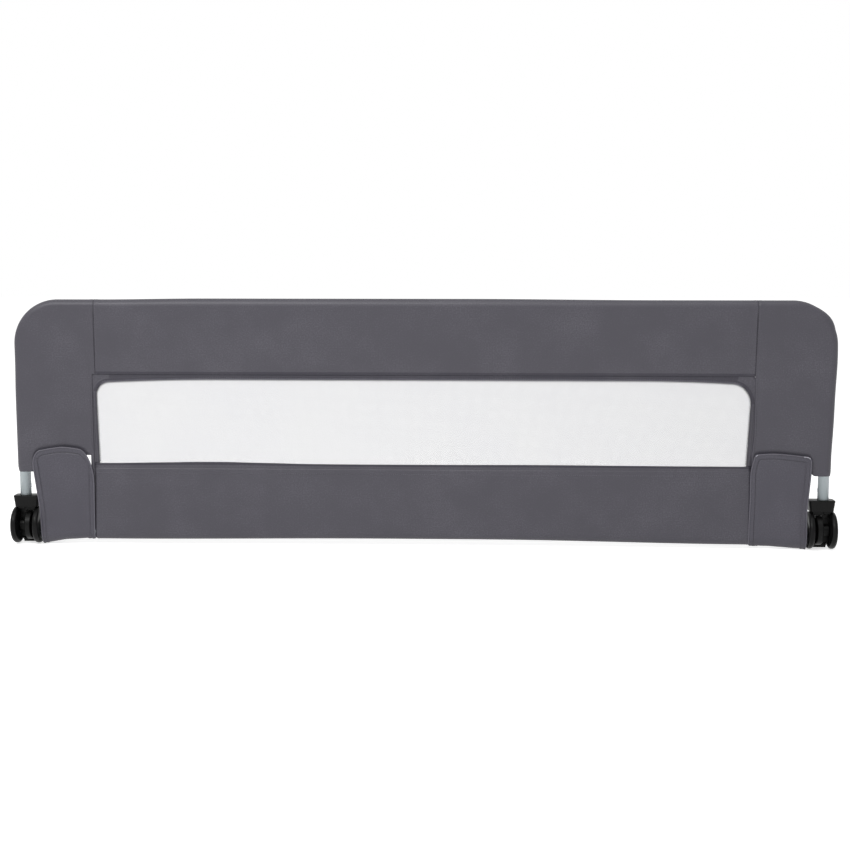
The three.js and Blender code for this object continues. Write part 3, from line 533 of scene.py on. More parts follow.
def wrap_point(reach, share):
    """A point on that line: its distance from the edge, its depth in front, and the way it faces."""
    sweep, flat_run, arc_run = wrap_runs(reach)
    place = share * (2 * flat_run + arc_run)
    if place <= flat_run:
        part = place / flat_run
        out = part * (reach + WRAP_R * math.cos(sweep))
        return out, EDGE_DEPTH + part * (WRAP_R * math.sin(sweep) - EDGE_DEPTH), sweep
    if place <= flat_run + arc_run:
        angle = sweep - (place - flat_run) / WRAP_R
        return reach + WRAP_R * math.cos(angle), WRAP_R * math.sin(angle), angle
    out, depth, angle = wrap_point(reach, 1 - share)
    return out, -depth, -angle


def wrap_length(reach):
    _, flat_run, arc_run = wrap_runs(reach)
    return 2 * flat_run + arc_run


def seam_shape(gap, along, snug=0.0):
    """How the cloth moves out of its plane at a distance from a seam. Where it lies snug on a tube it dips less."""
    dip = -DIP_DEPTH * (1 - 0.7 * snug) * (1 - smoothstep(gap, 0, DIP_REACH))
    roll = 0.25 * MM * bell(gap, 4.5, 2.2)
    fade = math.exp(-gap / (11 * MM))
    ripple = PUCKER * fade * math.sin(along / (3.4 * MM)) * (0.6 + 0.4 * math.sin(along / (17 * MM))) * (1 - snug)
    return dip + roll + ripple


def slow_waves(x, z, side):
    """The cloth's slow waves, about 200 mm long, and shallower ones on top of them."""
    spot = Vector((x * 5.0, z * 9.0, 3.7 * side))
    return WAVES * noise.noise(spot) + WAVES * 0.4 * noise.noise(spot * 2.7)


# %% [markdown]
# The top panel and the lower panel are straight bands. The lower panel also has a stitched hem under the window,
# a doubled strip 11 mm high that stands a little proud.

# %% Band panels
HEM_HEIGHT = 10.5 * MM
# The height of the top panel's darker edge strip, which is painted shade.
TOP_SHADED_EDGE = 6 * MM
SEAM_GAP = 0.05 * MM


def sag(x):
    """How far the lower panel and the flaps hang under the crossbar: they are looser towards the ends."""
    return (3.6 * ease(-x, 60, 560) + 5.6 * ease(x, 120, 600)) * MM


def bow(x):
    """How far the cover's top edge is arched over the tube in the middle of the rail."""
    return 1.9 * MM * ease(x, -590, -390) * (1 - ease(x, 90, 420))


def band_panel(name, node, edge_z, tube_z, hem):
    """A band from the window's edge round a tube and back. Gives the piece and its flat size."""
    reach = abs(tube_z - edge_z)
    way = 1 if tube_z > edge_z else -1
    end = PANEL_X - SEAM_GAP
    tuck = (6 if hem else 1.2) * MM
    length = wrap_length(reach)
    columns = spread((-end - tuck, 0), (-end, 4), (-end + 3 * MM, 4), (-end + 9 * MM, 4), (-end + 30 * MM, 6),
                     (end - 30 * MM, 190), (end - 9 * MM, 6), (end - 3 * MM, 4), (end, 4), (end + tuck, 4))
    edge = HEM_HEIGHT if hem else TOP_SHADED_EDGE
    front_rows = spread((0, 0), (1.2 * MM, 2), (edge - 1.2 * MM, 4), (edge, 3), (edge + 1.5 * MM, 3))
    rows = front_rows + spread((front_rows[-1], 0), (length - front_rows[-1], 56))[1:]
    rows = [row / length for row in rows + [length - row for row in front_rows[-2::-1]]]

    def place(x, share):
        out, depth, angle = wrap_point(reach, share)
        front = 1 if share < 0.5 else -1
        flatness = ease(out, 0, 8) * (1 - ease(out - reach, -34, -10))
        snug = ease(out - reach, -16, -3)
        lift = slow_waves(x, edge_z + way * out, front) * flatness
        lift += seam_shape(max(0.0, end - abs(x)), out, snug)
        lift -= (0.9 * MM if hem else 0.6 * MM) * (1 - 0.8 * snug) * ease(abs(x) - end, 0, 1)
        gap = min(share, 1 - share) * length
        loose = smoothstep(out - reach, -10 * MM, WRAP_R)
        out += loose * (sag(x) if hem else bow(x))
        if hem:
            lift += 0.3 * MM * (1 - ease(gap - HEM_HEIGHT, -0.6, 0.6))
            lift -= 0.3 * MM * bell(gap - HEM_HEIGHT, -1.6, 0.7)
            lift -= 1.5 * MM * (1 - ease(end - abs(x), 0, 3))
        lift -= 0.5 * MM * (1 - ease(gap, 0, 1.4))
        face = Vector((0, -math.sin(angle), way * math.cos(angle)))
        hand = -1 if x < 0 else 1
        z = edge_z + way * out
        lean = seam_move(hand, z + 0.1 * MM) * smoothstep(abs(x), end - 150 * MM, end - 20 * MM)
        return Vector((x + hand * lean, RAIL_Y - depth, z)) + face * lift

    shape = bmesh.new()
    # On the top panel the strip next to the window's edge, front and back, takes the dark tape material: painted shade
    # under the cloth's fold there.
    cloth_grid(shape, columns, rows, place, lambda x, share: (x, share * length),
               lambda i, j: 0 if hem or min(rows[j], 1 - rows[j + 1]) * length > TOP_SHADED_EDGE - 0.5 * MM else 1)
    middle_z = (edge_z + tube_z) / 2
    face_out(shape, lambda spot: Vector((0, spot.y - RAIL_Y, 0.1 * (spot.z - middle_z))))
    made = finish_piece(name, shape, [cover_cloth, binding_tape_and_shade], "rail", [node], sharp=180,
                        thick=CLOTH)
    print(name, "flat", round(2 * end, 3), "x", round(length, 3))
    return made, (2 * end, length)


top_panel, top_flat = band_panel("top_panel_cloth", "cover_top_panel", LINTEL_Z, TOP_Z, False)
lower_panel, lower_flat = band_panel("lower_panel_cloth", "cover_lower_panel", SILL_Z, CROSS_Z, True)

# %% [markdown]
# The flaps come later, but their outline is needed now, because the side panel is drawn in over a flap's top.

# %% The flaps' outline
FLAP_IN = FLAP_LOW.x
FLAP_TOP_Z = FLAP_HIGH.z
FLAP_TOP_X = FLAP_HIGH.x
FLAP_WAIST_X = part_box("right_crossbar")[1].x - 0.7 * MM
FLAP_WAIST_Z = 70 * MM
FLAP_REAR_Z = CROSS_Z + 12 * MM
FLAP_CLOTH = 1.0 * MM
HEM_WIDTH = 8.5 * MM


def flap_edge(z, hand):
    """The flap's outer edge. The right flap is drawn in, and the left one slants more than the straight cut."""
    share = max(0.0, (z - FLAP_WAIST_Z) / (FLAP_TOP_Z - FLAP_WAIST_Z))
    drawn = max(-3.0 * MM, 4.2 * MM - 0.05 * max(0.0, z - 14 * MM))
    if hand > 0:
        drawn = (2.1 + 1.4 * ease(z, 20, 90) + 2.1 * ease(z, 130, 174)) * MM
    return FLAP_WAIST_X + (FLAP_TOP_X - FLAP_WAIST_X) * share - drawn


def flap_inside(z, hand):
    """The flap's edge on the window side. The right flap's leans out over the lower panel."""
    lean = (-4 + 1.6 * ease(z, 30, 100) + 8.4 * ease(z, 135, 182)) * MM
    return FLAP_IN + (lean if hand > 0 else 0.0)


def corner_drop(distance, across, down):
    """How far a rounded corner falls at a distance from the side: a quarter of an ellipse."""
    return down * (1 - math.sqrt(max(0.0, 1 - max(0.0, 1 - distance / across) ** 2)))


def flap_top(share, hand):
    """The height of the flap's top edge at a share of its width from the inner edge. The left one is arched."""
    width = FLAP_TOP_X - FLAP_IN
    if hand < 0:
        drop = corner_drop(share * width, 27 * MM, 62 * MM) + corner_drop((1 - share) * width, 16 * MM, 28 * MM)
        return FLAP_TOP_Z + 1.0 * MM - drop - 9.2 * MM * abs(2 * share - 1) ** 1.4
    drop = corner_drop(share * width, 5 * MM, 5 * MM) + corner_drop((1 - share) * width, 8 * MM, 8 * MM)
    peak = 0.37
    slope = 2.8 * max(0.0, 1 - share / peak) ** 2 + 5.4 * (max(0.0, share - peak) / 0.6) ** 1.3
    return FLAP_TOP_Z - 4.6 * MM - drop - slope * MM


# %% [markdown]
# A side panel wraps the upright and the round corner of the frame. Each column of its grid starts at the inner
# edge and ends there again, and its far point walks up the upright, round the bend and along the top tube. Below
# the cut-out two narrow parts go on: a strip beside the window, and a sleeve round the tube that ends in a hem.
# The right panel is the looser one, so it stands away from its tube in places.

# %% Side panels
CUTOUT_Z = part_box("right_flap_loop_strip")[0].z - 0.3 * MM
SIDE_STEPS = 120


def side_path(hand, share):
    """The frame tube's middle line beside a share of the side panel, with the way outward."""
    bend = BEND_R[hand]
    rise = TOP_Z - bend - CUTOUT_Z
    turn = bend * math.pi / 2
    level = UPRIGHT_X - bend - (PANEL_X + SEAM_GAP)
    place = share * (rise + turn + level)
    if place <= rise:
        return Vector((UPRIGHT_X, 0, CUTOUT_Z + place)), Vector((1, 0, 0)), place
    if place <= rise + turn:
        angle = (place - rise) / bend
        out = Vector((math.cos(angle), 0, math.sin(angle)))
        return Vector((UPRIGHT_X - bend, 0, TOP_Z - bend)) + out * bend, out, place
    return Vector((UPRIGHT_X - bend - (place - rise - turn), 0, TOP_Z)), Vector((0, 0, 1)), place


def side_point(hand, share, across):
    """A point of the side panel, its depth, the way it faces, and how far along the line and up the tube it is."""
    tube, out, place = side_path(hand, share)
    start = Vector((PANEL_X + SEAM_GAP, 0, CUTOUT_Z + (LINTEL_Z - CUTOUT_Z) * min(1, share * 1.06) ** 0.9))
    last = smoothstep(share, 0.93, 1.0)
    start.x += seam_move(hand, start.z) if hand > 0 else seam_move(hand, LINTEL_Z) * last
    tube = tube + Vector((seam_move(hand, TOP_Z), 0, 0)) * last
    slant = (tube - start).normalized()
    sweep = math.pi / 2 + wrap_lean((tube - start).length) * max(0.0, slant.dot(out))
    touch = tube + out * (WRAP_R * math.cos(sweep))
    run = (touch - start).length
    total = 2 * run + 2 * sweep * WRAP_R
    front = 1 if across < 0.5 else -1
    spot = min(across, 1 - across) * total
    if spot <= run:
        part = spot / run
        depth = EDGE_DEPTH + part * (WRAP_R * math.sin(sweep) - EDGE_DEPTH)
        return start + (touch - start) * part, depth * front, (slant, math.pi / 2, front), spot, run, place
    angle = sweep - (spot - run) / WRAP_R
    point = tube + out * (WRAP_R * math.cos(angle))
    return point, WRAP_R * math.sin(angle) * front, (out, angle, front), spot, run, place


def side_slack(hand, tube, out):
    """How far the cloth stands away from the tube: a little on the left, more on the right."""
    if hand < 0:
        return 1.1 * MM * (1 - ease(tube.z, 270, 340))
    upright = (6.0 * bell(tube.z, 350, 75) + 2.6 * bell(tube.z, 235, 60)) * MM * out.x
    degrees_up = math.degrees(math.atan2(out.z, out.x))
    return max(upright, 5.6 * MM * math.exp(-((degrees_up - 30) / 22) ** 2))


def flap_shadow(hand, point):
    """How much the panel is drawn in just above a flap's top, where the hook tape pulls it back."""
    width = flap_edge(FLAP_TOP_Z, hand) - FLAP_IN
    share = min(1.0, max(0.0, (point.x - FLAP_IN) / width))
    beside = 1 - ease(point.x - FLAP_IN - width, 0, 10)
    return (1 - ease(point.z - flap_top(share, hand), 0, 10)) * beside


def side_place(hand, share, across):
    """A vertex of the side panel, moved by its seams, slow waves, the hook tape's pull and the slack at the tube."""
    point, depth, (way, angle, front), spot, run, place = side_point(hand, share, across)
    face = way * math.cos(angle) + Vector((0, -front * math.sin(angle), 0))
    calm = ease(spot, 0, 10) * (1 - ease(spot - run, -26, 0)) * ease(place, 0, 12)
    snug = ease(spot - run, -14, 0)
    lift = slow_waves(point.x + 2.0 * hand, point.z, front) * calm * 1.2
    lift += seam_shape((1 - share) * 370 * MM, spot + place, snug)
    lift -= 0.5 * MM * (1 - ease(spot, 0, 1.4))
    lift -= 2.0 * MM * flap_shadow(hand, point) * ease(spot, 0, 10) * (1 - ease(spot - run, -22, 0))
    tube, out, _ = side_path(hand, share)
    slack = side_slack(hand, tube, out) * smoothstep(spot, run - 30 * MM, run + WRAP_R * 1.6)
    return Vector((point.x, RAIL_Y - depth, point.z)) + face * lift + out * slack


def side_flat(hand, share, across):
    """The vertex's place on the flat cloth, with the back beside the front."""
    point, _, (way, _, _), spot, run, _ = side_point(hand, share, across)
    flat = point + way * max(0.0, spot - run)
    return flat.x + (1 if across < 0.5 else 2.5), flat.z


SLEEVE_REACH = 24 * MM
SLEEVE_ROUND = 7 * MM


def hang_down(shape, last, depths, hand, place):
    """Extrudes the part of the bottom row in last, a map from vertex to share across, down by each depth."""
    uv = shape.loops.layers.uv.verify()
    edges = [e for e in shape.edges if e.is_boundary and e.verts[0] in last and e.verts[1] in last]
    level = 0.0
    for depth in depths:
        made = bmesh.ops.extrude_edge_only(shape, edges=edges)["geom"]
        fresh = {v: last[min(last, key=lambda w: (w.co - v.co).length_squared)] for v in verts_in(made)}
        for vert, across in fresh.items():
            vert.co = place(side_place(hand, 0.0, across), across, depth)
        edges = [e for e in made if isinstance(e, bmesh.types.BMEdge) and e.verts[0] in fresh and e.verts[1] in fresh]
        for face in (f for f in made if isinstance(f, bmesh.types.BMFace)):
            for loop in face.loops:
                flat = side_flat(hand, 0.0, fresh.get(loop.vert, last.get(loop.vert, 0.5)))
                loop[uv].uv = (flat[0], flat[1] - (depth if loop.vert in fresh else level))
        last = fresh
        level = depth


def side_panel(hand):
    shape = bmesh.new()
    columns = spread((0.0, 0), (0.04, 6), (0.94, SIDE_STEPS), (0.985, 8), (1.0, 8))
    rows = spread((0.0, 0), (0.02, 3), (0.33, 14), (0.44, 22), (0.56, 34), (0.67, 22), (0.98, 14), (1.0, 3))
    spots = cloth_grid(shape, columns, rows, partial(side_place, hand), partial(side_flat, hand))
    bottom = {v: rows[j] for v, (i, j) in spots.items() if i == 0}
    # the sleeve round the tube, with a hem and a rounded inner corner
    inner = UPRIGHT_X - SLEEVE_REACH
    drop = CUTOUT_Z - SLEEVE_Z

    def sleeve(start, across, depth):
        hem, end, taper = (ease(depth - drop, low, high) for low, high in ((-12.5, -11), (-3, 0), (-12, 0)))
        groove = bell(depth - drop, -11.2, 0.9)
        rise = corner_drop(start.x - inner, SLEEVE_ROUND, SLEEVE_ROUND)
        way = (start - Vector((min(start.x, UPRIGHT_X), RAIL_Y, start.z))).normalized()
        lift = (0.35 + 0.25 * math.sin(across * 60)) * MM * hem - 0.3 * MM * groove
        lift -= (0.4 * end + (1.5 if hand < 0 else 0.7) * max(0.0, way.x) * taper) * MM
        return Vector((start.x, start.y, CUTOUT_Z - depth * (1 - rise / drop))) + way * lift

    hang_down(shape, {v: share for v, share in bottom.items() if v.co.x > inner},
              spread((0.0, 0), (drop - 13 * MM, 12), (drop - 10 * MM, 6), (drop - 3 * MM, 5), (drop, 5))[1:], hand,
              sleeve)
    # the strip beside the window, down to the lower panel
    strip = (12.5 if hand > 0 else 7) * MM
    hang_down(shape, {v: share for v, share in bottom.items() if v.co.x < PANEL_X + strip},
              spread((0.0, 0), (CUTOUT_Z - SILL_Z + 5 * MM, 14))[1:], hand,
              lambda start, across, depth: Vector((start.x, start.y, CUTOUT_Z - depth)))
    mirror_left(shape, hand)
    centre = Vector((hand * (PANEL_X + 60 * MM), RAIL_Y, 300 * MM))
    face_out(shape, lambda spot: Vector((0.05 * (spot.x - centre.x), spot.y - RAIL_Y, 0.05 * (spot.z - centre.z))))
    return finish_piece(f"{SIDES[hand]}_side_panel_cloth", shape, [cover_cloth], "rail",
                        [f"{SIDES[hand]}_cover_side_panel"], sharp=180, thick=CLOTH)


side_panels = [side_panel(hand) for hand in SIDES]

# %% [markdown]
# ## The window
# The net is one flat sheet held between the two faces of the cover. The binding runs up one side of it, over the
# top and down the other side, as a strip that is slightly domed. It is a grid along the edge of the window.

# %% The window's edge
WINDOW_X = PANEL_X - 8.4 * MM
WINDOW_LOW = SILL_Z + 8.5 * MM
WINDOW_HIGH = LINTEL_Z - 8.5 * MM
LEFT_ROUND, RIGHT_ROUND = 24 * MM, 36 * MM
LEFT_DROP, RIGHT_DROP = 6.0 * MM, 6.6 * MM
ARCH_RUN = 200 * MM
CORNER_STEPS = 12


def window_top(x):
    """The height of the window's top edge, which falls towards both corners."""
    edge = max(0.0, abs(x) - (WINDOW_X - ARCH_RUN)) / ARCH_RUN
    return WINDOW_HIGH - (LEFT_DROP * edge ** 1.6 if x < 0 else RIGHT_DROP * edge ** 2.2)


def sill_rise(x):
    """How far the sill is pulled up by the net along its length."""
    return 3.3 * MM * bell(x, -380, 130) + 1.0 * MM * bell(x, 230, 170)


def window_side(hand, z):
    """Half the window's width at a height. Its right edge leans outward towards the top."""
    if hand > 0:
        return WINDOW_X + 0.0445 * (z - 178 * MM)
    return WINDOW_X - 0.8 * MM + 0.02 * (z - 165 * MM)


def window_line(grow=0.0):
    """Points round the window from the lower left corner, up, over and down, with the outward way at each."""
    left, right = LEFT_ROUND + grow, RIGHT_ROUND + grow
    left_foot = window_top(-WINDOW_X + left) + grow - left
    right_foot = window_top(WINDOW_X - right) + grow - right
    left_x = left - window_side(-1, left_foot) - grow
    right_x = window_side(1, right_foot) + grow - right

    def side(hand, *run):
        return [(Vector((hand * (window_side(hand, z) + grow), 0, z)), Vector((hand, 0, 0))) for z in spread(*run)]

    def corner(x, z, radius, first):
        angles = [first - math.pi / 2 * i / CORNER_STEPS for i in range(1, CORNER_STEPS + 1)]
        outs = [Vector((math.cos(angle), 0, math.sin(angle))) for angle in angles]
        return [(Vector((x, 0, z)) + out * radius, out) for out in outs]

    over = [(Vector((x, 0, window_top(x) + grow)), Vector((0, 0, 1))) for x in spread((left_x, 0), (right_x, 200))]
    return (side(-1, (WINDOW_LOW, 0), (left_foot, 34)) + corner(left_x, left_foot, left, math.pi) + over[1:]
            + corner(right_x, right_foot, right, math.pi / 2) + side(1, (right_foot, 0), (WINDOW_LOW, 34))[1:])


# %% The net
def net_sheet():
    shape = bmesh.new()
    side, low, high = PANEL_X + 3 * MM, SILL_Z - 3 * MM, LINTEL_Z + 3 * MM

    def place(x, z):
        calm = ease(WINDOW_X - abs(x), 0, 30) * ease(min(z - WINDOW_LOW, WINDOW_HIGH - z), 0, 30)
        billow = 0.3 * MM * noise.noise(Vector((x * 4, z * 7, 0.5))) * calm
        return Vector((x, RAIL_Y + billow, z))

    columns = spread((-side, 0), (side, 160))
    rows = spread((low, 0), (CUTOUT_Z + 1 * MM, 4), (high, 26))
    cloth_grid(shape, columns, rows, place, lambda x, z: (x, z))
    middles = {f: f.calc_center_median() for f in shape.faces}
    beyond = [f for f, spot in middles.items() if abs(spot.x) > PANEL_X - 1 * MM and spot.z < CUTOUT_Z]
    bmesh.ops.delete(shape, geom=beyond, context="FACES")
    face_out(shape, lambda spot: Vector((0, -1, 0)))
    made = finish_piece("window_net_sheet", shape, [window_net], "rail", ["window_mesh"],
                        thick=0.35 * MM)
    return made, (2 * side, high - low)


net, net_flat = net_sheet()

# %% The binding
TAPE_WIDTH = 6.6 * MM
TAPE_DOME = 0.55 * MM
TAPE_UNDER = 2.0 * MM
TAPE_COLUMNS = 12
CORNER_SPAN, TOP_SPAN = (36, 257), (46, 247)
BINDING_DEPTH = 0.75 * MM
BINDING_THICK = 0.7 * MM


def binding_material(i, j):
    """Tape at the window's edge, the tape's full width round the corners, and all of the strip along the top."""
    if CORNER_SPAN[0] <= i <= CORNER_SPAN[1] and (j < TAPE_COLUMNS or TOP_SPAN[0] <= i <= TOP_SPAN[1]):
        return 0
    return 0 if j < 2 else 1


def binding(name, node, front):
    """Across the strip, the tape comes first in metres. Then 1 to 2 is the way on, under the panels, to their seam."""
    shape = bmesh.new()
    inner = window_line()
    across = spread((0.0, 0), (0.5 * MM, 2), (TAPE_WIDTH - 0.8 * MM, 7), (TAPE_WIDTH, 3)) + [1.2, 1.4, 1.6, 1.8, 2.0]

    def place(i, wide):
        point, out = inner[i]
        spot = point + out * min(wide, TAPE_WIDTH)
        if wide > 1:
            outer_x = PANEL_X + seam_move(1 if spot.x > 0 else -1, min(spot.z, LINTEL_Z - 4 * MM)) + TAPE_UNDER
            reach_x = (outer_x - abs(spot.x)) / abs(out.x) if abs(out.x) > 0.001 else 1.0
            reach_z = (LINTEL_Z + TAPE_UNDER - spot.z) / out.z if out.z > 0.001 else 1.0
            spot += out * min(reach_x, reach_z) * (wide - 1)
        dome = math.sqrt(max(0.0, 1 - (2 * min(wide, TAPE_WIDTH) / TAPE_WIDTH - 1) ** 2))
        depth = BINDING_DEPTH + TAPE_DOME * dome ** 0.6 + 0.07 * MM * math.sin(i * 2.1) * dome
        depth -= 0.6 * MM * smoothstep(wide, 1.4, 1.75)
        return Vector((spot.x, RAIL_Y - front * depth, spot.z))

    lengths = running([point for point, _ in inner])
    cloth_grid(shape, list(range(len(inner))), across, place,
               lambda i, wide: (lengths[i], wide if wide < 1 else TAPE_WIDTH + (wide - 1) * 8 * MM),
               binding_material)
    face_out(shape, lambda spot: Vector((0, -front, 0)))
    made = finish_piece(name, shape, [binding_tape_and_shade, cover_cloth], "rail", [node], sharp=180,
                        thick=BINDING_THICK, offset=-1.0)
    print(name, "length", round(lengths[-1], 3))
    return made, lengths[-1]


front_binding, binding_length = binding("front_binding_tape", "window_binding_front", 1)
rear_binding, _ = binding("rear_binding_tape", "window_binding_rear", -1)

# %% [markdown]
# Under the window the lower panel's own hem holds the net, so a narrow strip of cover cloth closes the binding
# below, in front and behind.

# %% The sill strips
def sill_strip(name, front):
    shape = bmesh.new()
    end = PANEL_X - SEAM_GAP
    columns = spread((-end, 0), (end, 180))
    rows = spread((SILL_Z - 2 * MM, 0), (WINDOW_LOW - 3.8 * MM, 5), (WINDOW_LOW, 5))

    def place(x, z):
        roll = ease(WINDOW_LOW - z, 0, 1.4)
        ripple = 0.12 * MM * math.sin(x / (2.6 * MM)) + 0.1 * MM * noise.noise(Vector((x * 30, z * 20, front)))
        depth = BINDING_DEPTH + (0.75 * MM + ripple) * roll
        lift = sill_rise(x) * smoothstep(z, SILL_Z, WINDOW_LOW)
        return Vector((x, RAIL_Y - front * depth, z + lift))

    # The top 3.8 mm under the net take the dark tape material, which paints the fold's dark edge and its shade.
    cloth_grid(shape, columns, rows, place, lambda x, z: (x, z), lambda i, j: 1 if j >= 5 else 0)
    face_out(shape, lambda spot: Vector((0, -front, 0)))
    return finish_piece(name, shape, [cover_cloth, binding_tape_and_shade], "rail", sharp=180,
                        thick=BINDING_THICK, offset=-1.0)


sill_strips = [sill_strip("front_sill_hem", 1), sill_strip("rear_sill_hem", -1)]

# %% [markdown]
# The binding is sewn down with a zigzag. Each leg of it is one bead of thread that runs from the tape over its
# edge to the net, so the edge looks toothed. Two rows of straight stitches also hold the tape at the window's
# sides.

# %% Zigzag round the window
ZIGZAG_PITCH = 4.2 * MM
SIDE_POINTS = 36


def zigzag(name, front):
    """Dark legs at the sides, and a wider row along the top in pale thread, which is a painted highlight. Every second
    end of a leg is on the net.
    """
    shape = bmesh.new()
    row = along_line([point for point, _ in window_line(1.0 * MM)], ZIGZAG_PITCH / 2)
    last = None
    for i, (centre, way) in enumerate(row):
        out = Vector((-way.z, 0, way.x))
        top = smoothstep(out.z, 0.6, 0.95)
        reach, depth = (1.2 + 1.8 * top, 1.45 + 0.5 * top) if i % 2 else (-4.0, 0.55)
        spot = centre + out * reach * MM + Vector((0, RAIL_Y - front * depth * MM, 0))
        if last is not None:
            leg = spot - last
            stitch(shape, (spot + last) / 2, leg.normalized(), leg.length * 1.05, (1.2 + 0.9 * top) * MM, 0.7 * MM,
                   tone=1 if top > 0.5 else 0)
        last = spot
    for inset in (2.6 * MM, 5.8 * MM):
        line = window_line(inset)
        for side in (line[:SIDE_POINTS], line[-SIDE_POINTS:]):
            points = [point + Vector((0, RAIL_Y - front * 1.4 * MM, 0)) for point, _ in side]
            straight_seam(shape, points, width=1.3 * MM)
    return finish_piece(name, shape, [dark_thread, highlight_thread], "rail", sharp=80)


zigzags = [zigzag("front_zigzag_thread", 1), zigzag("rear_zigzag_thread", -1)]

# %% [markdown]
# ## The corner flaps
# A flap closes the cut-out over each hinge fork. It is cut with a rounded top, piped and hemmed on three sides,
# hooked to the side panel above and turned round the crossbar below. The grid's columns lie close together at
# the hems, where the shape changes fast.

# %% Flap shape
PANEL_SLANT = math.tan(wrap_lean(UPRIGHT_X - PANEL_X))


def panel_depth(x):
    """How far in front of the rail's plane the side panel's face is."""
    return EDGE_DEPTH + CLOTH / 2 + PANEL_SLANT * (x - PANEL_X)


def flap_line(share, hand):
    """Points down the middle of the flap's cloth at a share of its width: its depth in front and its height."""
    top = flap_top(share, hand)
    x = FLAP_IN + (flap_edge(top, hand) - FLAP_IN) * share
    wrap = TUBE_R + (1.5 + 5.9 * share) * MM + FLAP_CLOTH / 2
    crown = panel_depth(x) + 3.1 * MM
    points = []
    for z in spread((top, 0), (CROSS_Z, 60)):
        slope = (z - CROSS_Z) / (FLAP_TOP_Z - CROSS_Z)
        points.append(Vector((-(wrap + (crown - wrap) * slope), z)))
    hang = sag(x) if hand > 0 else sag(-x) + (3.2 * smoothstep(share, 0.5, 0.95) - 2.2) * MM
    for angle in spread((math.pi, 0), (math.tau, 32))[1:]:
        points.append(Vector((wrap * math.cos(angle), CROSS_Z + (wrap + hang) * math.sin(angle))))
    points.append(Vector((wrap, FLAP_REAR_Z)))
    return points


def hem_lift(gap):
    """How far the hem stands proud at a distance from the flap's edge: a doubled strip that ends in a stitch line."""
    strip = 0.8 * (1 - ease(gap - HEM_WIDTH, -0.4, 0.5))
    return (strip - 0.4 * bell(gap - PIPING, 0.3, 0.6) - 0.8 * bell(gap - HEM_WIDTH, 0.3, 0.8)) * MM


# %% Flaps
PIPING = 1.3 * MM
HEM_STEPS = [gap * MM for gap in (0, 0.5, 1.0, 1.5, 2.0, 2.6, 3.4, 4.6, 6.0, 7.2, 7.9, 8.4, 8.9, 9.4, 10.2)]


def cord(shape, spots, radius, sides=10):
    """A round cord along a row of places, each with the way it faces."""
    def place(i, turn):
        point, face = spots[i]
        along = spots[min(i + 1, len(spots) - 1)][0] - spots[max(i - 1, 0)][0]
        beside = along.cross(face).normalized()
        angle = math.tau * turn
        return point + (face * math.cos(angle) + beside * math.sin(angle)) * radius

    lengths = running([point for point, _ in spots])
    cloth_grid(shape, list(range(len(spots))), spread((0.0, 0), (1.0, sides)), place,
               lambda i, turn: (lengths[i], turn * math.tau * radius))
    tidy_normals(shape)


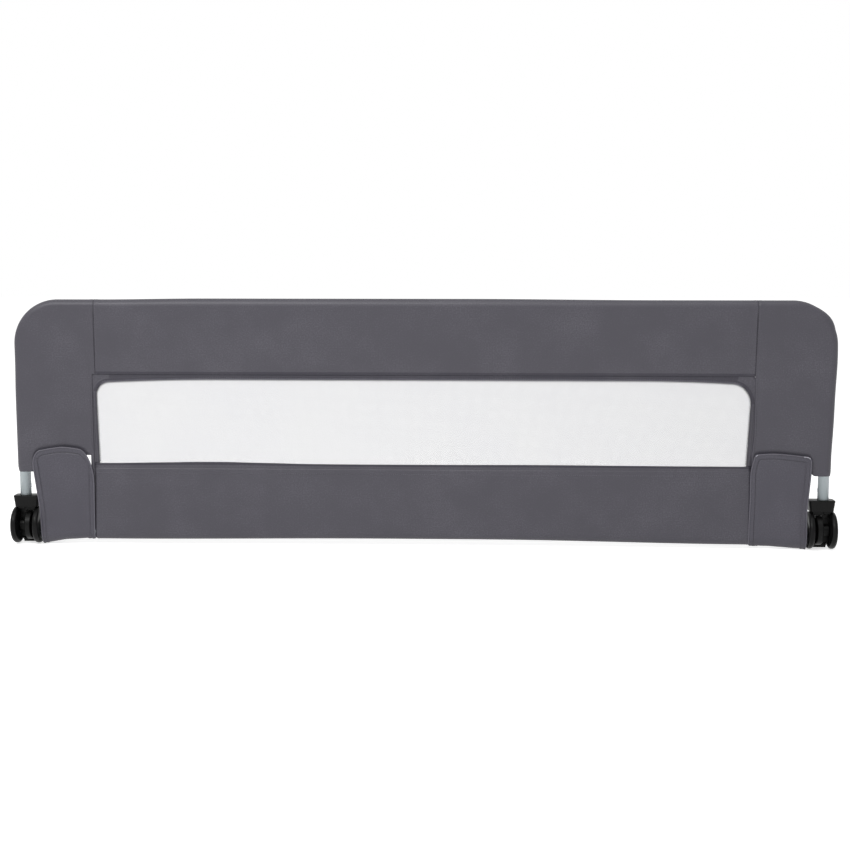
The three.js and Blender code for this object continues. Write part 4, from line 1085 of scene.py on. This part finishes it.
def flap_piece(hand):
    """The flap's cloth, the pieces sewn to it, and the cloth's length from its top edge to its end."""
    name = SIDES[hand]
    shape = bmesh.new()
    width = FLAP_TOP_X - FLAP_IN
    shares = [gap / width for gap in HEM_STEPS]
    columns = shares + spread((shares[-1], 0), (1 - shares[-1], 50))[1:-1] + [1 - share for share in reversed(shares)]
    lines = {share: flap_line(share, hand) for share in columns}
    runs = {share: running(line) for share, line in lines.items()}
    rows = HEM_STEPS + spread((HEM_STEPS[-1], 0), (1.0, 96))[1:]

    def spot_on(share, distance):
        """The point and the way it faces at a distance down one line, as (depth, height)."""
        line, run = lines[share], runs[share]
        i = next((i for i in range(1, len(run)) if run[i] >= distance - 1e-9), len(run) - 1)
        part = min(1.0, (distance - run[i - 1]) / (run[i] - run[i - 1]))
        along = (line[i] - line[i - 1]).normalized()
        return line[i - 1].lerp(line[i], part), Vector((along.y, -along.x))

    def down(share, row):
        first = HEM_STEPS[-1]
        return row if row <= first else first + (runs[share][-1] - first) * (row - first) / (1.0 - first)

    def slant(share):
        low, high = max(0.0, share - 0.01), min(1.0, share + 0.01)
        fall = (flap_top(high, hand) - flap_top(low, hand)) / ((high - low) * width)
        return 1 / math.hypot(1, fall)

    def place(share, row):
        distance = down(share, row)
        point, face = spot_on(share, distance)
        inside, outside = flap_inside(point.y, hand), flap_edge(point.y, hand)
        inside += (FLAP_IN + 8 * MM - inside) * ease(point.x, -6, 0)
        x = inside + (outside - inside) * share
        side_gap, top_gap = min(x - inside, outside - x), distance * slant(share)
        gap = min(side_gap, top_gap) if abs(side_gap - top_gap) > 2 * MM else \
            (side_gap + top_gap - math.hypot(side_gap - top_gap, 1.2 * MM)) / 2
        calm = ease(side_gap, 4, 18) * ease(distance, 8, 26)
        waves = 1.3 * MM * noise.noise(Vector((x * 16, point.y * 7, 2.0 + hand))) * calm
        waves += 0.4 * MM * noise.noise(Vector((x * 45, point.y * 14, 5.0 + hand))) * calm
        lift = hem_lift(max(0.0, gap)) + waves
        return Vector((x, RAIL_Y + point.x + face.x * lift, point.y + face.y * lift))

    cloth_grid(shape, columns, rows, place, lambda share, row: (share * width, down(share, row)))
    mirror_left(shape, hand)
    face_out(shape, lambda spot: Vector((0, spot.y - RAIL_Y, 0.2 * (spot.z - CROSS_Z) if spot.z < CROSS_Z else 0)))
    made = finish_piece(f"{name}_flap_cloth", shape, [flap_cloth], f"{name}_flap",
                        [f"{name}_corner_flap"], sharp=180, thick=FLAP_CLOTH, offset=-1.0)

    # the piping is a cord round the top and both sides
    def edge_spot(share, row, proud):
        spot = place(share, row)
        face = Vector((0, *spot_on(share, down(share, row))[1]))
        return Vector((hand * spot.x, spot.y, spot.z)) + face * proud, face

    sunk, near = -0.2 * MM, 0.6 * MM
    up = [edge_spot(0.0, row, sunk) for row in rows[::-2]]
    fall = [edge_spot(1.0, row, sunk) for row in rows[::2]]
    over = [edge_spot(share, 0.0, sunk) for share in columns]
    edge = up + [spot for spot in over if min((spot[0] - end[0]).length for end in (up[-1], fall[0])) > near] + fall
    piping = bmesh.new()
    cord(piping, edge, PIPING)
    pieces = [finish_piece(f"{name}_flap_piping", piping, [piping_and_highlight_cloth], f"{name}_flap",
                           sharp=180)]
    # the stitch line of the hem
    seam = bmesh.new()
    inset = min(columns, key=lambda share: abs(share * width - HEM_WIDTH + 0.2 * MM))
    reach, proud = 8.4 * MM, 0.2 * MM
    line = [edge_spot(inset, row, proud) for row in rows[::-1] if row >= reach]
    line += [edge_spot(share, reach / slant(share), proud) for share in columns if inset < share < 1 - inset]
    line += [edge_spot(1 - inset, row, proud) for row in rows if row >= reach]
    straight_seam(seam, [spot for spot, _ in line])
    pieces.append(finish_piece(f"{name}_flap_stitches", seam, [dark_thread], f"{name}_flap",
                               sharp=80))
    # pale stitches over each end of the right flap's top: a painted highlight for the glints there
    if hand > 0:
        glint_marks = bmesh.new()
        for start, end in ((0.01, 0.035), (0.86, 0.975)):
            run = [edge_spot(min(columns, key=lambda c: abs(c - share)), 0.0, 0.9 * MM)[0]
                   for share in spread((start, 0), (end, 24))]
            for centre, _ in along_line(run, 0.9 * MM):
                stitch(glint_marks, centre, Vector((0.2, -0.1, 1)).normalized(), 2.4 * MM, 0.8 * MM)
        pieces.append(finish_piece(f"{name}_flap_painted_glints", glint_marks, [glint_thread], f"{name}_flap",
                                   sharp=80))
    return made, pieces, max(run[-1] for run in runs.values())


def hook_patch(hand, half, body):
    """One half of the hook-and-loop fastening: a thin patch that follows the slant of the side panel."""
    side = SIDES[hand]
    low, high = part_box(f"{side}_flap_{half}_strip")
    if hand < 0:
        low, high = Vector((-high.x, low.y, low.z)), Vector((-low.x, high.y, high.z))
    centre = (low + high) / 2
    half_size = Vector((24 * MM, 0.45 * MM, 0))
    shape = bmesh.new()
    soft_block(shape, (*(centre - half_size).xy, low.z), (*(centre + half_size).xy, high.z - 5 * MM), 0.3 * MM, 2)
    for vert in shape.verts:
        vert.co.y -= PANEL_SLANT * (vert.co.x - centre.x)
    mirror_left(shape, hand)
    finish_piece(f"{side}_{half}_tape", shape, [hook_tape], body, [f"{side}_flap_{half}_strip"])


for hand, side in SIDES.items():
    hook_patch(hand, "loop", "rail")
    hook_patch(hand, "hook", f"{side}_flap")

left_flap, left_flap_extras, left_flap_run = flap_piece(-1)
right_flap, right_flap_extras, right_flap_run = flap_piece(1)
print("flap cut", round(FLAP_TOP_X - FLAP_IN, 3), "x", round(left_flap_run, 3), round(right_flap_run, 3))

# %% [markdown]
# ## Cover stitches
# A row of stitches runs beside each upright seam, over the tube and down behind, and one long row holds the hem
# under the window, in front and behind.

# %% Cover stitches
def cover_stitches():
    shape = bmesh.new()
    reach = TOP_Z - LINTEL_Z
    # beside each upright seam a grey row, and in the seam a broad dark one: inset, height above the cloth, width
    rows = ((3.2 * MM, 0.1 * MM, 0.75 * MM), (0.1 * MM, -0.75 * MM, 1.7 * MM))
    for hand in SIDES:
        for tone, (inset, proud, width) in enumerate(rows):
            points = []
            for share in spread((0.0, 0), (1.0, 120)):
                out, depth, angle = wrap_point(reach, share)
                face = Vector((0, -math.sin(angle), math.cos(angle)))
                snug = ease(out - reach, -16, -3)
                x = hand * (PANEL_X - inset + seam_move(hand, LINTEL_Z + out))
                points.append(Vector((x, RAIL_Y - depth, LINTEL_Z + out))
                              + face * (CLOTH / 2 + proud * (1 - 0.7 * snug)))
            straight_seam(shape, points, width=width, tone=tone)
        # the row that holds the side panel beside the window
        for front in (1, -1):
            line = []
            for z in spread((CUTOUT_Z + 10 * MM, 0), (LINTEL_Z, 20)):
                x = PANEL_X + seam_move(hand, min(z, LINTEL_Z - 4 * MM)) + 3.5 * MM
                line.append(Vector((hand * x, RAIL_Y - front * (panel_depth(x) + 0.05 * MM), z)))
            straight_seam(shape, line, width=1.1 * MM, tone=1)
    # the long row that holds the hem under the window
    reach = SILL_Z - CROSS_Z
    out, depth, _ = wrap_point(reach, (HEM_HEIGHT - 1.6 * MM) / wrap_length(reach))
    end = PANEL_X - 4 * MM
    for front in (1, -1):
        y = RAIL_Y - front * (depth + CLOTH / 2 + 0.1 * MM)
        straight_seam(shape, [Vector((x, y, SILL_Z - out)) for x in (-end, end)], pitch=3.8 * MM)
    return finish_piece("cover_stitches", shape, [cover_thread, dark_thread], "rail", sharp=80)


stitches = cover_stitches()

# %% [markdown]
# ## The tubes
# The bare steel shows between the sleeve and the collar and in the legs. A circle is extruded up the straight
# run and spun round the bend, which is how a tube bender shapes the real one. The corner tube's inner end is drawn
# in to fit inside the top tube.

# %% Corner tubes
TUBE_WALL = 1.2 * MM
SPIGOT_STEP = 1.5 * MM


def corner_tube(hand):
    node = f"{SIDES[hand]}_corner_tube"
    low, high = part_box(node)
    shape = bmesh.new()
    bend = BEND_R[hand]
    bend_x = UPRIGHT_X - bend
    inner_end = low.x if hand > 0 else -high.x
    joint_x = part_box("right_top_tube")[1].x + 0.3 * MM
    edges = tube_start(shape, Vector((UPRIGHT_X, RAIL_Y, low.z)), (0, 0, 1), TUBE_R)
    edges = tube_straight(shape, edges, (0, 0, TOP_Z - bend - low.z))
    edges = tube_bend(shape, edges, Vector((bend_x, RAIL_Y, TOP_Z - bend)), (0, -1, 0), 20)
    edges = tube_straight(shape, edges, (joint_x - bend_x, 0, 0))
    edges = tube_straight(shape, edges, (0, 0, 0))
    squeeze = 1 - SPIGOT_STEP / TUBE_R
    bmesh.ops.scale(shape, verts=list({v for e in edges for v in e.verts}), vec=(1, squeeze, squeeze),
                    space=Matrix.Translation((-joint_x, -RAIL_Y, -TOP_Z)))
    tube_straight(shape, edges, (inner_end - joint_x, 0, 0))
    tidy_normals(shape)
    mirror_left(shape, hand)
    return finish_piece(f"{node}_steel", shape, [coated_tube], "rail", [node],
                        thick=TUBE_WALL, offset=-1.0)


corner_tubes = [corner_tube(hand) for hand in SIDES]

# %% [markdown]
# The hairpin legs lie flat under the mattress. Each is one tube with two round bends.

# %% Leg tubes
LEG_BEND = 50 * MM


def leg_tube(hand):
    side = SIDES[hand]
    low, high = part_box(f"{side}_leg_tube")
    shape = bmesh.new()
    radius = (high.z - low.z) / 2
    z = (low.z + high.z) / 2
    bend_y = high.y - radius - LEG_BEND
    inner_x = low.x + radius if hand > 0 else radius - high.x
    edges = tube_start(shape, Vector((HINGE_X, low.y, z)), (0, 1, 0), radius)
    edges = tube_straight(shape, edges, (0, bend_y - low.y, 0))
    edges = tube_bend(shape, edges, Vector((HINGE_X - LEG_BEND, bend_y, z)), (0, 0, 1), 16)
    edges = tube_straight(shape, edges, (inner_x - HINGE_X + 2 * LEG_BEND, 0, 0))
    edges = tube_bend(shape, edges, Vector((inner_x + LEG_BEND, bend_y, z)), (0, 0, 1), 16)
    tube_straight(shape, edges, (0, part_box(f"{side}_leg_end_cap")[0].y + 3.3 * MM - bend_y, 0))
    tidy_normals(shape)
    mirror_left(shape, hand)
    finish_piece(f"{side}_leg_steel", shape, [coated_tube], "base", [f"{side}_leg_tube"],
                 thick=TUBE_WALL, offset=-1.0)


for hand in SIDES:
    leg_tube(hand)

# %% [markdown]
# Each leg has two rubber grips that keep it from sliding under the mattress, and a plastic cap closes its free
# end. A grip is a block that is grooved across its top and sides so that it holds.

# %% Grips and end caps
GRIP_RIBS = 11
GROOVE_HALF = 1.1 * MM
GROOVE_DEPTH = 0.5 * MM


def grip(node, name):
    low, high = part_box(node)
    shape = bmesh.new()
    soft_block(shape, low, high, 3 * MM, 4)
    for i in range(1, GRIP_RIBS):
        y = low.y + (high.y - low.y) * i / GRIP_RIBS
        for cut in (-GROOVE_HALF, GROOVE_HALF, 0):
            bmesh.ops.bisect_plane(shape, geom=shape.verts[:] + shape.edges[:] + shape.faces[:], dist=1e-6,
                                   plane_co=(0, y + cut, 0), plane_no=(0, 1, 0))
    centre = (low + high) / 2
    for vert in shape.verts:
        share = (vert.co.y - low.y) / (high.y - low.y) * GRIP_RIBS
        if abs(share - round(share)) < 0.02 and 0 < round(share) < GRIP_RIBS:
            vert.co.x = centre.x + (vert.co.x - centre.x) * 0.93
            if vert.co.z > centre.z:
                vert.co.z -= GROOVE_DEPTH
    bmesh.ops.recalc_face_normals(shape, faces=shape.faces[:])
    finish_piece(name, shape, [black_rubber], "base", [node], sharp=30)


def end_cap(side):
    node = f"{side}_leg_end_cap"
    low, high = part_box(node)
    radius = (high.x - low.x) / 2
    plug = radius - 1.6 * MM
    shape = bmesh.new()
    spun(shape, [(0, 0), (radius - 2.4 * MM, 0), (radius - 1.1 * MM, 0.35 * MM), (radius - 0.3 * MM, 1.1 * MM),
                 (radius, 2.2 * MM), (radius, 3.0 * MM), (plug, 3.0 * MM), (plug, high.y - low.y),
                 (0, high.y - low.y)], Vector((middle(node).x, low.y, middle(node).z)), (0, 1, 0), 48)
    tidy_normals(shape)
    finish_piece(f"{side}_leg_cap_plastic", shape, [black_plastic], "base", [node])


for side in SIDES.values():
    for part in ("outer", "inner"):
        grip(f"{side}_leg_{part}_grip", f"{side}_{part}_rubber_grip")
for side in SIDES.values():
    end_cap(side)

# %% [markdown]
# ## The hinges
# Each fork has two round cheeks. Their rims are rounded like a lens, and the outer face carries a shallow dish
# with a raised ring round the axle cap. A cheek is one profile spun about the axle.

# %% Forks
CHEEK_R = (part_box("right_fork_outer")[1].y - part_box("right_fork_outer")[0].y) / 2
CHEEK_INNER = 15.0 * MM
CHEEK_OUTER = 25.0 * MM
CHEEK_RIM = 4.2 * MM
CAP_DISH = 7.3 * MM
STUB_R = 8.4 * MM
AXLE = Vector((HINGE_X, AXIS.y, AXIS.z))


def cheek_profile():
    rim, thick, face = CHEEK_R, CHEEK_OUTER - CHEEK_INNER, CHEEK_OUTER - CHEEK_INNER - 0.1 * MM
    points = [(0, 0), (rim - 5 * MM, 0)]
    for i in range(11):
        angle = math.pi * (i / 10 - 0.5)
        points.append((rim - CHEEK_RIM + CHEEK_RIM * max(0.0, math.cos(angle)) ** 0.8,
                       thick / 2 * (1 + math.sin(angle))))
    return points + [(rim - 8 * MM, thick), (rim - 9.2 * MM, thick - 0.9 * MM), (15 * MM, thick - 0.9 * MM),
                     (14 * MM, face), (CAP_DISH + 1.6 * MM, face), (CAP_DISH + 0.9 * MM, thick - 0.8 * MM),
                     (CAP_DISH + 0.3 * MM, thick - 3.0 * MM), (0, thick - 3.0 * MM)]


def fork_half(hand, part):
    """One half of a fork: part is 1 for the outer half and -1 for the inner one."""
    name = f"{SIDES[hand]}_fork_{'outer' if part > 0 else 'inner'}"
    shape = bmesh.new()
    spun(shape, cheek_profile(), AXLE + Vector((part * CHEEK_INNER, 0, 0)), (part, 0, 0), 96)
    tidy_normals(shape)

    def block(ends, y, z, edge=0.8):
        """Between two places along the axle. In millimetres, y is from the rail's plane and z from the axle."""
        soft_block(shape, (min(ends), RAIL_Y + y[0] * MM, AXIS.z + z[0] * MM),
                   (max(ends), RAIL_Y + y[1] * MM, AXIS.z + z[1] * MM), edge * MM)

    split = UPRIGHT_X + part * 0.15 * MM
    cheek = HINGE_X + part * (CHEEK_INNER + 1 * MM)
    saddle_top = (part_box("right_corner_tube")[0].z - 0.3 * MM - AXIS.z) / MM
    block((split, cheek), (-9.5, 12.4), (30.7, 35))
    block((split, UPRIGHT_X + part * 12.9 * MM), (-10.4, 10.4), (34, saddle_top))
    # a web on each side of the knuckle's band, and on the inner half a boss over the band between them
    block((HINGE_X + (1.9 if part > 0 else -11.1) * MM, cheek), (-3, 9), (22.7, 32))
    if part < 0:
        block((HINGE_X - 12 * MM, HINGE_X + 2.5 * MM), (-4.9, 4.9), (27.4, 32), 0.5)
        # the stub inside the crossbar
        low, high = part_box(name)
        root = HINGE_X - CHEEK_OUTER + 1 * MM
        length = root - (low.x if hand > 0 else -high.x)
        spun(shape, [(0, 0), (STUB_R, 0), (STUB_R, length), (0, length)], Vector((root, RAIL_Y, CROSS_Z)),
             (-1, 0, 0), 40)
        bmesh.ops.remove_doubles(shape, verts=shape.verts[:], dist=0.001 * MM)
    bmesh.ops.recalc_face_normals(shape, faces=shape.faces[:])
    mirror_left(shape, hand)
    finish_piece(f"{name}_plastic", shape, [black_plastic], "rail", [name], sharp=35)


for hand in SIDES:
    for part in (-1, 1):
        fork_half(hand, part)

# %% [markdown]
# The knuckle stays under the mattress with the legs. It is a hub with a raised band that the lock plunger runs on,
# and a foot that takes the leg tube. The band is thicker where the foot is, and the two ends of that stretch stop
# the fork's boss.

# %% Knuckles
BAND_IN, BAND_OUT = -9.9 * MM, 0.7 * MM
FLOOR_R, STOP_R, HUB_R, BACK_R, BORE_R = 26.7 * MM, 30 * MM, 11 * MM, 22.4 * MM, 4.4 * MM
HUB_HALF = 14.6 * MM
STOP_START, STOP_SWEEP = math.radians(102.8), math.radians(64.4)
LEG_Z = 11 * MM


def knuckle(hand):
    side = SIDES[hand]
    node = f"{side}_hinge_knuckle"
    foot_y = RAIL_Y + 14 * MM
    leg_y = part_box(f"{side}_leg_tube")[0].y - 0.3 * MM
    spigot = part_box(node)[1].y - foot_y
    shape = bmesh.new()
    edge, round_edge, inside = 1 * MM, 1.2 * MM, HUB_R - 3 * MM
    spun(shape, [(BORE_R, -HUB_HALF), (HUB_R - edge, -HUB_HALF), (HUB_R, -HUB_HALF + edge), (HUB_R, HUB_HALF - edge),
                 (HUB_R - edge, HUB_HALF), (BORE_R, HUB_HALF), (BORE_R, -HUB_HALF)], AXLE, (1, 0, 0), 72)
    tidy_normals(shape)
    spun(shape, [(inside, BAND_IN), (FLOOR_R - round_edge, BAND_IN), (FLOOR_R, BAND_IN + round_edge),
                 (FLOOR_R, BAND_OUT - round_edge), (FLOOR_R - round_edge, BAND_OUT), (inside, BAND_OUT),
                 (inside, BAND_IN)], AXLE, (1, 0, 0), 72)
    bmesh.ops.remove_doubles(shape, verts=shape.verts[:], dist=0.001 * MM)
    # behind the axle the hub is solid out to the fork's webs
    swept(shape, [(5 * MM, -HUB_HALF), (BACK_R, -HUB_HALF), (BACK_R, HUB_HALF), (5 * MM, HUB_HALF)], AXLE,
          0.0, math.pi, 36)
    # the stops: a thicker stretch of the band where the foot is
    root = FLOOR_R - 2 * MM
    swept(shape, [(root, BAND_IN), (STOP_R - edge, BAND_IN), (STOP_R, BAND_IN + edge), (STOP_R, BAND_OUT - edge),
                  (STOP_R - edge, BAND_OUT), (root, BAND_OUT)], AXLE, STOP_START, STOP_SWEEP, 14)
    # the foot, the spigot inside the leg and the block that joins the foot to the hub
    neck = leg_y - foot_y
    spun(shape, [(0, 0), (8.95 * MM, 0), (8.95 * MM, neck), (7.5 * MM, neck), (7.4 * MM, spigot - 1 * MM),
                 (6.4 * MM, spigot), (0, spigot)], Vector((HINGE_X, foot_y, LEG_Z)), (0, 1, 0), 40)
    soft_block(shape, (HINGE_X - HUB_HALF, foot_y, 0), (HINGE_X + HUB_HALF, leg_y, LEG_Z), 1.2 * MM)
    soft_block(shape, (HINGE_X - HUB_HALF, RAIL_Y + 10.5 * MM, 4 * MM),
               (HINGE_X + HUB_HALF, RAIL_Y + 16 * MM, AXIS.z - 12 * MM), 1 * MM)
    bmesh.ops.remove_doubles(shape, verts=shape.verts[:], dist=0.001 * MM)
    bmesh.ops.recalc_face_normals(shape, faces=shape.faces[:])
    mirror_left(shape, hand)
    finish_piece(f"{side}_knuckle_plastic", shape, [black_plastic], "base", [node], sharp=35)


for hand in SIDES:
    knuckle(hand)

# %% [markdown]
# The release collar is a flared block with soft corners that the fingers lift. It is one outline, drawn in by
# steps towards its foot, with a round bore for the tube.

# %% Release collars
COLLAR_CORNER = 6 * MM
COLLAR_RINGS = [(0.0, 2.5), (0.25, 2.05), (0.55, 1.05), (0.78, 0.5), (0.86, 0.0), (0.92, 0.15), (0.97, 0.7),
                (1.0, 1.9)]  # share of the height, and how far the outline is drawn in, in millimetres
COLLAR_SIDES = 28


def collar(hand):
    node = f"{SIDES[hand]}_release_collar"
    low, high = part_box(node)
    centre, half = (low + high) / 2, (high - low) / 2
    shape = bmesh.new()

    def ring(points, z):
        return [shape.verts.new((x, y, z)) for x, y in points]

    def skin(lower, upper):
        for k in range(COLLAR_SIDES):
            shape.faces.new((lower[k - 1], lower[k], upper[k], upper[k - 1]))

    outlines = []
    for share, inset in COLLAR_RINGS:
        face_inset = max(0.0, inset - 0.2) if share > 0.9 else inset * 0.12
        reach_x = half.x - inset * MM - COLLAR_CORNER
        reach_y = half.y - face_inset * MM - COLLAR_CORNER
        points = []
        for quarter, (sx, sy) in enumerate(((1, 1), (-1, 1), (-1, -1), (1, -1))):
            for step in range(7):
                angle = (quarter + step / 6) * math.pi / 2
                points.append((centre.x + sx * reach_x + COLLAR_CORNER * math.cos(angle),
                               centre.y + sy * reach_y + COLLAR_CORNER * math.sin(angle)))
        outlines.append(ring(points, low.z + (high.z - low.z) * share))
    bore_r = TUBE_R + 0.5 * MM
    turns = [(k + 0.5) / COLLAR_SIDES * math.tau for k in range(COLLAR_SIDES)]
    bore = [(hand * UPRIGHT_X + bore_r * math.cos(turn), RAIL_Y + bore_r * math.sin(turn)) for turn in turns]
    foot, head = ring(bore, low.z), ring(bore, high.z)
    rings = [foot, *outlines, head, foot]
    for lower, upper in zip(rings, rings[1:]):
        skin(lower, upper)
    bmesh.ops.recalc_face_normals(shape, faces=shape.faces[:])
    finish_piece(f"{SIDES[hand]}_collar_plastic", shape, [black_plastic], f"{SIDES[hand]}_collar",
                 [node], sharp=38)


for hand in SIDES:
    collar(hand)

# %% [markdown]
# ## Finishes on the CAD pieces that stay
# The small fittings keep their CAD shape and get the material of the real thing.

# %% CAD finishes
FINISHES = {
    "top_tube": coated_tube, "crossbar": coated_tube, "ferrule": zinc_plate, "axle_bolt": zinc_plate,
    "axle_insert": zinc_plate, "axle_cap": black_plastic, "fork_screw": zinc_plate, "tube_rivet": zinc_plate,
    "collar_pin": zinc_plate, "lock_plunger": blackened_steel, "lock_spring": spring_wire, "snap_button": spring_wire,
    "strip": hook_tape, "corner_tube": coated_tube, "leg_tube": coated_tube, "grip": black_rubber,
    "end_cap": black_plastic, "fork_": black_plastic, "knuckle": black_plastic, "release_collar": black_plastic,
    "cover_": cover_cloth, "window_mesh": window_net, "binding": binding_tape_and_shade, "flap": flap_cloth,
}
for name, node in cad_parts.items():
    finish = next(material for part, material in FINISHES.items() if part in name)
    if not node.data.materials:
        node.data.materials.append(finish)
    for slot in node.material_slots:
        slot.material = finish
print("CAD nodes finished", len(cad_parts))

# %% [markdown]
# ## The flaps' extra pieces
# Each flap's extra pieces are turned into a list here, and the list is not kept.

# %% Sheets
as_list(left_flap_extras)
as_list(right_flap_extras)

# %% [markdown]
# ## Floor and light
# The photograph's ground is pure white. The world is white to the camera and to reflections, and gives the
# object an even, softer light. The floor is pale and matt and adds just enough white for the camera that it
# meets the background without a line, and still takes the soft shadow.

# %% Floor
FLOOR_GLOW = 0.66
WORLD_FILL = 0.5


def seen_directly(tree):
    """1 for rays from the camera, from reflections and through the net's holes, and 0 for light on the object."""
    rays = add_node(tree, "LightPath", {}).outputs
    seen = maths(tree, "ADD", rays["Is Camera Ray"], rays["Is Glossy Ray"])
    return maths(tree, "ADD", seen, rays["Is Transmission Ray"], use_clamp=True)


def pale_floor():
    material, tree, shader, output = new_material("pale_studio_floor")
    set_inputs(tree, shader, {"Base Color": linear("#f2f2f2"), "Roughness": 0.9, "Specular IOR Level": 0.0})
    light = add_node(tree, "Emission", {"Strength": maths(tree, "MULTIPLY", seen_directly(tree), FLOOR_GLOW)})
    both = add_node(tree, "AddShader", {0: shader.outputs[0], 1: light.outputs[0]})
    set_inputs(tree, output, {"Surface": both.outputs[0]})
    shape = bmesh.new()
    bmesh.ops.create_grid(shape, x_segments=1, y_segments=1, size=12)
    mesh = bpy.data.meshes.new("studio_floor")
    shape.to_mesh(mesh)
    shape.free()
    mesh.materials.append(material)
    floor = bpy.data.objects.new("studio_floor", mesh)
    bpy.context.scene.collection.objects.link(floor)


pale_floor()


# %% World and lamps
def studio_world():
    world = bpy.data.worlds.new("studio_world")
    bpy.context.scene.world = world
    world.use_nodes = True
    tree = world.node_tree
    tree.nodes.clear()
    level = add_node(tree, "MapRange", {"Value": seen_directly(tree), "To Min": WORLD_FILL, "To Max": 1.0})
    light = add_node(tree, "Background", {"Color": (1, 1, 1, 1), "Strength": level.outputs[0]})
    add_node(tree, "OutputWorld", {"Surface": light.outputs[0]})


def lamp(name, place, aim, size, watts):
    data = bpy.data.lights.new(name, "AREA")
    data.shape = "RECTANGLE"
    data.size, data.size_y = size
    data.energy = watts
    made = bpy.data.objects.new(name, data)
    made.location = place
    made.rotation_euler = (Vector(aim) - Vector(place)).to_track_quat("-Z", "Y").to_euler()
    bpy.context.scene.collection.objects.link(made)


studio_world()
lamp("overhead_softbox", (0.1, -1.0, 2.4), (0, RAIL_Y, 0.2), (2.4, 1.2), 12)
lamp("front_softbox", (-1.0, -2.25, 2.15), (0, RAIL_Y, 0.3), (3.0, 0.6), 52)
